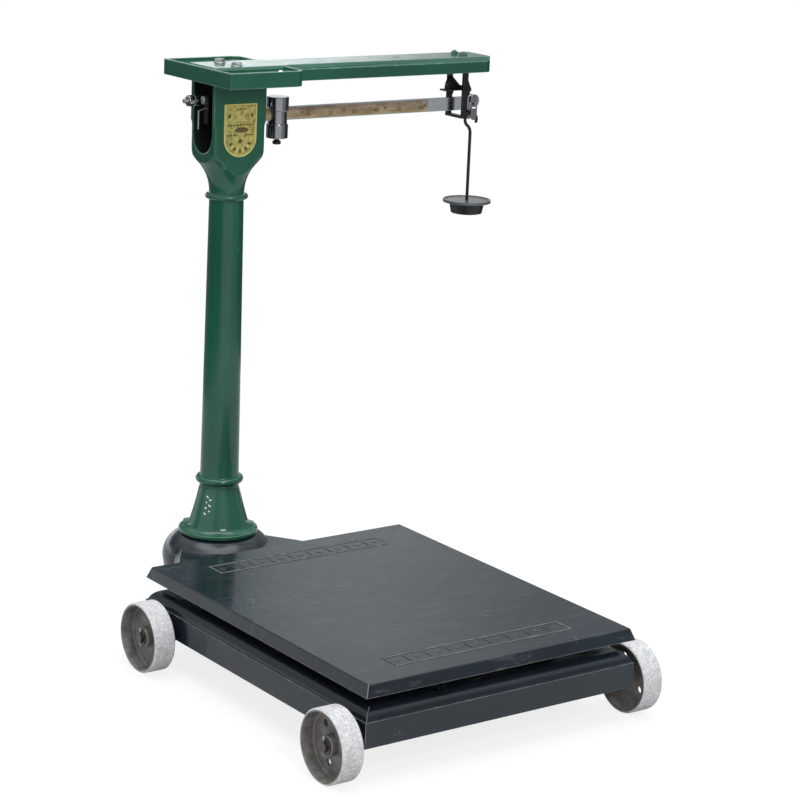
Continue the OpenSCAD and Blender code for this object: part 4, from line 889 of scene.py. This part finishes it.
STEPS, NUMBERED = 60, 10
first_x = poise_x + 12 * MM
step = (high.x - 18 * MM - first_x) / STEPS
parts = []
for i in range(STEPS + 1):
    long_one = i % NUMBERED == 0
    length, width = (7.0, 1.3) if long_one else (4.0, 0.7)
    parts.append(mark(first_x + i * step, high.z - 1.2 * MM, length, width))
    if long_one:
        parts.append(numeral(str(i), first_x + i * step, low.z + 3.2 * MM, 13.0))
make("scale_plate.marks", joined(*parts), "weigh_beam", ink.material,
     smooth=30)
print("marks:", STEPS + 1, "one step in mm:", round(step / MM, 2))

# %% [markdown]
# ## Rivets of the plate
# Five brass rivets hold the plate on the bar. The poise slides over them with little room, so their
# domes are low. Each is a spun profile that lies along Y.

# %% Low domes on shanks
low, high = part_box("plate_rivets")
RIVETS, RIVET_R = 5, 2.5
parts = []
for i in range(RIVETS):
    x = low.x + RIVET_R * MM + i * (high.x - low.x - 2 * RIVET_R * MM) / (RIVETS - 1)
    dome = [(0, -0.25), (1.3, -0.22), (2.4, -0.1), (2.8, 0.1), (RIVET_R, 0.3),
            (RIVET_R, (high.y - low.y) / MM), (0, (high.y - low.y) / MM)]
    parts.append(turned(dome, (x, low.y, middle("plate_rivets").z), (0, 1, 0), 32))
make("plate_rivets.domed", joined(*parts), "weigh_beam", rivet_brass,
     ("plate_rivets",), 30)
print("rivets:", RIVETS)

# %% [markdown]
# ## The gold plate
# The shield on the head's cheek is a printed and embossed plate. Here it is generic: a raised border,
# rows of plain dashes, an oval and a fan of lozenges. The border comes from insetting the front face.

# %% Shield with a border
bm = solid_copy("label_plate")
raised = bm.faces.layers.float.new("raised")
front = min(bm.faces, key=lambda f: f.calc_center_median().y + f.normal.y)
for width, depth in ((0.6, 0.5), (2.2, 0.0), (0.5, -0.6)):
    bmesh.ops.inset_region(bm, faces=[front], thickness=width * MM, depth=0.0)
    bmesh.ops.translate(bm, vec=(0, -depth * MM, 0), verts=front.verts)
for face in bm.faces:
    face[raised] = 0.0 if face is front else 1.0
floor_y = front.calc_center_median().y
label = middle("label_plate")


def emboss(x, z, width, height, turn=0.0, corners=4, kind="printed"):
    """A low shape on the plate: a stretched cone with a flat top."""
    bm = bmesh.new()
    bmesh.ops.create_cone(bm, cap_ends=True, segments=corners, radius1=0.7072, radius2=0.6,
                          depth=1.0)
    square = Matrix.Rotation(math.pi / 4 if corners == 4 else 0.0, 4, "Z")
    size = Matrix.Diagonal((width * MM, height * MM, 0.5 * MM, 1.0))
    place = Matrix.Translation((label.x + x * MM, floor_y, label.z + z * MM))
    stand = Matrix.Rotation(math.pi / 2, 4, "X") @ Matrix.Rotation(turn, 4, "Z")
    bmesh.ops.transform(bm, matrix=place @ stand @ size @ square, verts=bm.verts)
    for name in ("raised", "printed"):
        layer = bm.faces.layers.float.new(name)
        for face in bm.faces:
            face[layer] = 1.0 if name == kind else 0.0
    return bm


make("label_plate.shield", bm, "base", gold, ("label_plate",), 30)
print("the shield's ground lies at y", round(floor_y, 4))

# %% [markdown]
# ## The shield's relief
# Rows of dashes stand where words would be; round them are squares, two thin raised lines, an oval
# and a fan of lozenges in two tones. Every one is the same low shape, stretched and turned.

# %% Dashes, oval and fan
DASH_ROWS = ((42, -7, 3), (11, -28, 9), (-9, -28, 3), (-9, 14, 3))
DASH_STEP, FAN = 7, 9
parts = []
for z, start, count in DASH_ROWS:
    for i in range(count):
        parts.append(emboss(start + DASH_STEP * i, z, 5.0, 3.4))
for side in (-1, 1):
    parts.append(emboss(26 * side, 29, 6.5, 8))
    parts.append(emboss(0, 20 + side, 32 - 6 * side, 1.0, kind="raised"))
parts.append(emboss(3, 1, 24, 8, 0.0, 24))
for i in range(FAN):
    a = math.radians(-90 + (i - FAN // 2) * 17)
    kind = "printed" if i % 2 == 0 else "raised"
    parts.append(emboss(23 * math.cos(a), -18 + 22 * math.sin(a), 5.0, 9.0, a + math.pi / 2,
                        kind=kind))
parts.append(emboss(0, -21, 9, 9, math.pi / 4))
make("label_plate.relief", joined(*parts), "base", gold, smooth=30)
print("shapes on the shield:", len(parts))

# %% [markdown]
# ## The deck's bordered strips
# Two long panels are cast into the deck. Their border stands proud, and inside it is a row of plain
# raised treads, bars and lozenges in turn, which give grip to the feet of a load.

# %% Treads in the strips
deck_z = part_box("platform")[1].z - 1.2 * MM
deck = middle("platform")
STRIP_L, STRIP_IN = 392.0, 82.0
deck_half = size_of("platform").y / 2
TREADS, LOZENGE, BAR = 17, (13.0, 13.0), (5.0, 27.0)
parts = []
for side in (-1, 1):
    row_y = deck.y + side * (deck_half - STRIP_IN * MM)
    for i in range(TREADS):
        bm = bmesh.new()
        lozenge = i % 2 == 0
        bmesh.ops.create_cone(bm, cap_ends=True, segments=4, radius1=0.7072, radius2=0.58,
                              depth=1.0)
        turn = Matrix.Rotation(math.pi / 4, 4, "Z")
        size = LOZENGE if lozenge else BAR
        spin = Matrix.Rotation(math.pi / 4 if lozenge else 0.0, 4, "Z")
        span = STRIP_L - 36.0
        x = deck.x + (-span / 2 + span * i / (TREADS - 1)) * MM
        place = Matrix.Translation((x, row_y, deck_z + 0.2 * MM))
        scale = Matrix.Diagonal((size[0] * MM, size[1] * MM, 1.8 * MM, 1.0))
        bmesh.ops.transform(bm, matrix=place @ spin @ scale @ turn, verts=bm.verts)
        parts.append(soften(bm, 0.25 * MM, 1))
make("platform.treads", joined(*parts), "deck", deck_paint, smooth=30)
print("treads:", 2 * TREADS)

# %% [markdown]
# ## Cotter pins
# A split pin keeps each wheel on its axle. It has an eye at one end, and its two legs are bent apart
# at the other. A round section is pushed along a path, one short stretch after another.

# %% Push a round section along a path
def wire(points, radius, sides=12):
    """Extrudes a ring of vertices from point to point, turning it with the path."""
    bm = bmesh.new()
    path = [Vector(p) for p in points]
    made = bmesh.ops.create_circle(bm, cap_ends=True, segments=sides, radius=radius)
    ahead = (path[1] - path[0]).normalized()
    turn = Vector((0, 0, 1)).rotation_difference(ahead).to_matrix().to_4x4()
    bmesh.ops.transform(bm, matrix=Matrix.Translation(path[0]) @ turn, verts=made["verts"])
    face = bm.faces[:][0]
    for i in range(1, len(path)):
        after = (path[min(i + 1, len(path) - 1)] - path[i - 1]).normalized()
        pushed = bmesh.ops.extrude_face_region(bm, geom=[face])
        if i > 1:
            bmesh.ops.delete(bm, geom=[face], context="FACES_ONLY")
        ring_verts = [g for g in pushed["geom"] if isinstance(g, bmesh.types.BMVert)]
        face = [g for g in pushed["geom"] if isinstance(g, bmesh.types.BMFace)][0]
        swing = ahead.rotation_difference(after).to_matrix().to_4x4()
        move = Matrix.Translation(path[i]) @ swing @ Matrix.Translation(-path[i - 1])
        bmesh.ops.transform(bm, matrix=move, verts=ring_verts)
        ahead = after
    return bm


EYE_R, EYE_UP, LEG_APART, LEG_R = 2.6, 16.0, 0.75, 0.75
pins_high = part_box("cotter_pins")[1]
axles = [middle("front_axle"), middle("rear_axle")]
parts = []
for axle in axles:
    for side in (-1, 1):
        x = axle.x + side * (pins_high.x - axle.x - 1.7 * MM)
        centre = Vector((x, axle.y, axle.z))
        eye = [(0.0, EYE_R * math.sin(a), EYE_UP + EYE_R * math.cos(a))
               for a in (math.radians(200 + 20 * i) for i in range(17))]
        for leg in (-1, 1):
            legs = [(0, LEG_APART * leg, 13), (0, LEG_APART * leg, 0), (0, LEG_APART * leg, -11),
                    (0, 2.2 * leg, -13.2), (0, 5.5 * leg, -14.6 + leg)]
            parts.append(wire([centre + Vector(p) * MM for p in legs], LEG_R * MM))
        parts.append(wire([centre + Vector(p) * MM for p in eye], 0.9 * MM))
make("cotter_pins.split", joined(*parts), "base", zinc,
     ("cotter_pins",), 40)
print("cotter pins:", 2 * len(axles))

# %% [markdown]
# ## Floor
# The photograph has a white ground with a soft shadow. A plain floor keeps the shadow, and further
# out it passes into pure white. A mix of a pale finish and a plain glow does that, with the distance
# from the middle as the factor, and only for what the camera sees.

# %% A floor that fades into white
FLOOR_R, FADE_FROM, FADE_TO = 2.2, 0.6, 1.6


def floor_finish():
    pale = Finish("pale floor", Roughness=0.8)
    is_camera = pale.node("LightPath", out="Is Camera Ray")
    pale.set(Base_Color=pale.mix(is_camera, rgb(0.5, 0.5, 0.5), rgb(0.9, 0.9, 0.9)))
    far = pale.node("VectorMath", {"operation": "LENGTH"}, {0: pale.place}, out="Value")
    white = pale.node("Emission", None, {"Color": rgb(1, 1, 1), "Strength": 1.0})
    share = far.spread(FADE_FROM, FADE_TO, 0.82, 1.0) * is_camera
    lit = Wire(pale, pale.shader.outputs[0])
    both = pale.node("MixShader", None, {0: share, 1: lit, 2: white})
    output = next(n for n in pale.nodes if n.type == "OUTPUT_MATERIAL")
    pale.feed(output.inputs["Surface"], both)
    return pale.material


bm = bmesh.new()
bmesh.ops.create_circle(bm, cap_ends=True, segments=64, radius=FLOOR_R)
mesh = bpy.data.meshes.new("floor")
bm.to_mesh(mesh)
bm.free()
mesh.materials.append(floor_finish())
floor = bpy.data.objects.new("floor", mesh)
bpy.context.scene.collection.objects.link(floor)
floor.location.z = -0.0004
print("floor's radius in m:", FLOOR_R)

# %% [markdown]
# ## The studio's walls
# Smooth enamel shows the room. The camera sees plain white, but for reflections the surround is a
# dim room with a bright wall behind the object, a dark screen that the left part of the deck
# mirrors, and a few large lamps. Each is a smooth step in how far a direction turns to a vector, so
# the whole room is one small graph.

# %% World
world = bpy.data.worlds.new("studio")
bpy.context.scene.world = world
studio = Graph(world)
way = studio.node("TexCoord", out="Generated")
is_camera = studio.node("LightPath", out="Is Camera Ray")
AHEAD, ASIDE, UP = Vector((0.59, 0.81, 0)), Vector((0.811, -0.585, 0)), Vector((0, 0, 1))


def towards(vector, low, high, dim=0.0, bright=1.0):
    """Runs smoothly from dim to bright as a direction turns towards a vector."""
    along = studio.node("VectorMath", {"operation": "DOT_PRODUCT"}, {0: way, 1: vector}, "Value")
    values = {0: along, 1: low, 2: high, 3: dim, 4: bright}
    return studio.node("MapRange", {"interpolation_type": "SMOOTHSTEP"}, values)


wall = towards(AHEAD, -0.2, 0.75, 0.07, 0.72)
screen = towards(ASIDE, -0.056, -0.044)
high_band = wall * screen.spread(0.0, 1.0, 0.17, 1.0) * towards(ASIDE, 0.0, 0.09, 1, 0.5)
low_band = wall * towards(ASIDE, -0.06, 0.06, 2.3, 0.4)
high = towards(UP, 0.15, 0.2)
behind = high * high_band + (1.0 - high) * low_band
sides = wall * towards(AHEAD, 0.35, 0.7, 1.0, 0.0)
glow = behind.sum("MAXIMUM", behind, sides) * towards(UP, -0.1, 0.02, 0.12, 1.0)
for lamp in (towards(UP, 0.3, 0.75, 0.0, 0.95),
             towards(UP, 0.82, 0.93, 0.0, 3.0),
             towards(Vector((-0.25, -0.96, -0.1)), 0.7, 0.92, 0.0, 0.7),
             towards(Vector((0.486, -0.872, -0.1)), 0.8, 0.95, 0.0, 0.34),
             towards(Vector((-0.97, -0.16, 0.25)), 0.75, 0.93) * towards(UP, -0.06, 0.06)):
    glow = glow.sum("MAXIMUM", glow, lamp)
# A green patch high on the back wall, left of the screen, is a painted reflection of the green column,
# for the deck to mirror.
painted_column_reflection = high * (1.0 - screen) * towards(AHEAD, 0.5, 0.7) * towards(ASIDE, -0.2, -0.13)
cool = studio.mix(is_camera, rgb(0.92, 0.97, 1.0), rgb(1, 1, 1))
surround = studio.node("Background", None, {
    "Strength": glow.sum("MAXIMUM", glow, is_camera),
    "Color": studio.mix(painted_column_reflection, cool, rgb(0.62, 1.0, 0.9)),
})
studio.node("OutputWorld", None, {"Surface": surround})
print("nodes in the room:", len(studio.nodes))

# %% [markdown]
# ## Lights
# One large soft light stands over the camera's shoulder and gives the edges their glint. Another
# hangs above and keeps the shadow under the deck soft. Area lights are used because their size sets
# how soft a shadow is.

# %% Soft lights
def soft_light(name, place, aim, size, power):
    lamp = bpy.data.lights.new(name, "AREA")
    lamp.shape, lamp.size, lamp.energy = "SQUARE", size, power
    light = bpy.data.objects.new(name, lamp)
    bpy.context.scene.collection.objects.link(light)
    light.location = place
    light.rotation_euler = (Vector(aim) - Vector(place)).to_track_quat("-Z", "Y").to_euler()


soft_light("key", (-1.0, -3.6, 2.6), (0, 0, 0.5), 1.3, 58)
soft_light("top", (-0.2, -0.1, 3.5), (-0.2, -0.1, 0), 3.0, 18)
print("lights:", len(bpy.data.lights))

# %% [markdown]
# ## The camera
# Its place, turn and lens come from fitting the object's own edges in the photograph. The three rows
# are the directions of the picture's right side, its lower side and the view.

# %% Camera
FOCUS_PX, WIDTH_PX = 2508.354, 800.0
right = Vector((0.8100384, -0.5848506, 0.0422788))
down = Vector((-0.1123409, -0.2255533, -0.967732))
view = Vector((0.5755148, 0.7791505, -0.2484095))
lens = bpy.data.cameras.new("camera")
lens.sensor_width = 36.0
lens.lens = lens.sensor_width * FOCUS_PX / WIDTH_PX
lens.clip_end = 200.0
camera = bpy.data.objects.new("camera", lens)
bpy.context.scene.collection.objects.link(camera)
turn = Matrix((right, -down, -view)).transposed().to_4x4()
camera.matrix_world = Matrix.Translation((-2.7799566, -3.7454071, 1.6998569)) @ turn
bpy.context.scene.camera = camera
bpy.context.scene.view_settings.view_transform = "Standard"
print("lens in mm", round(lens.lens, 2))

# %% [markdown]
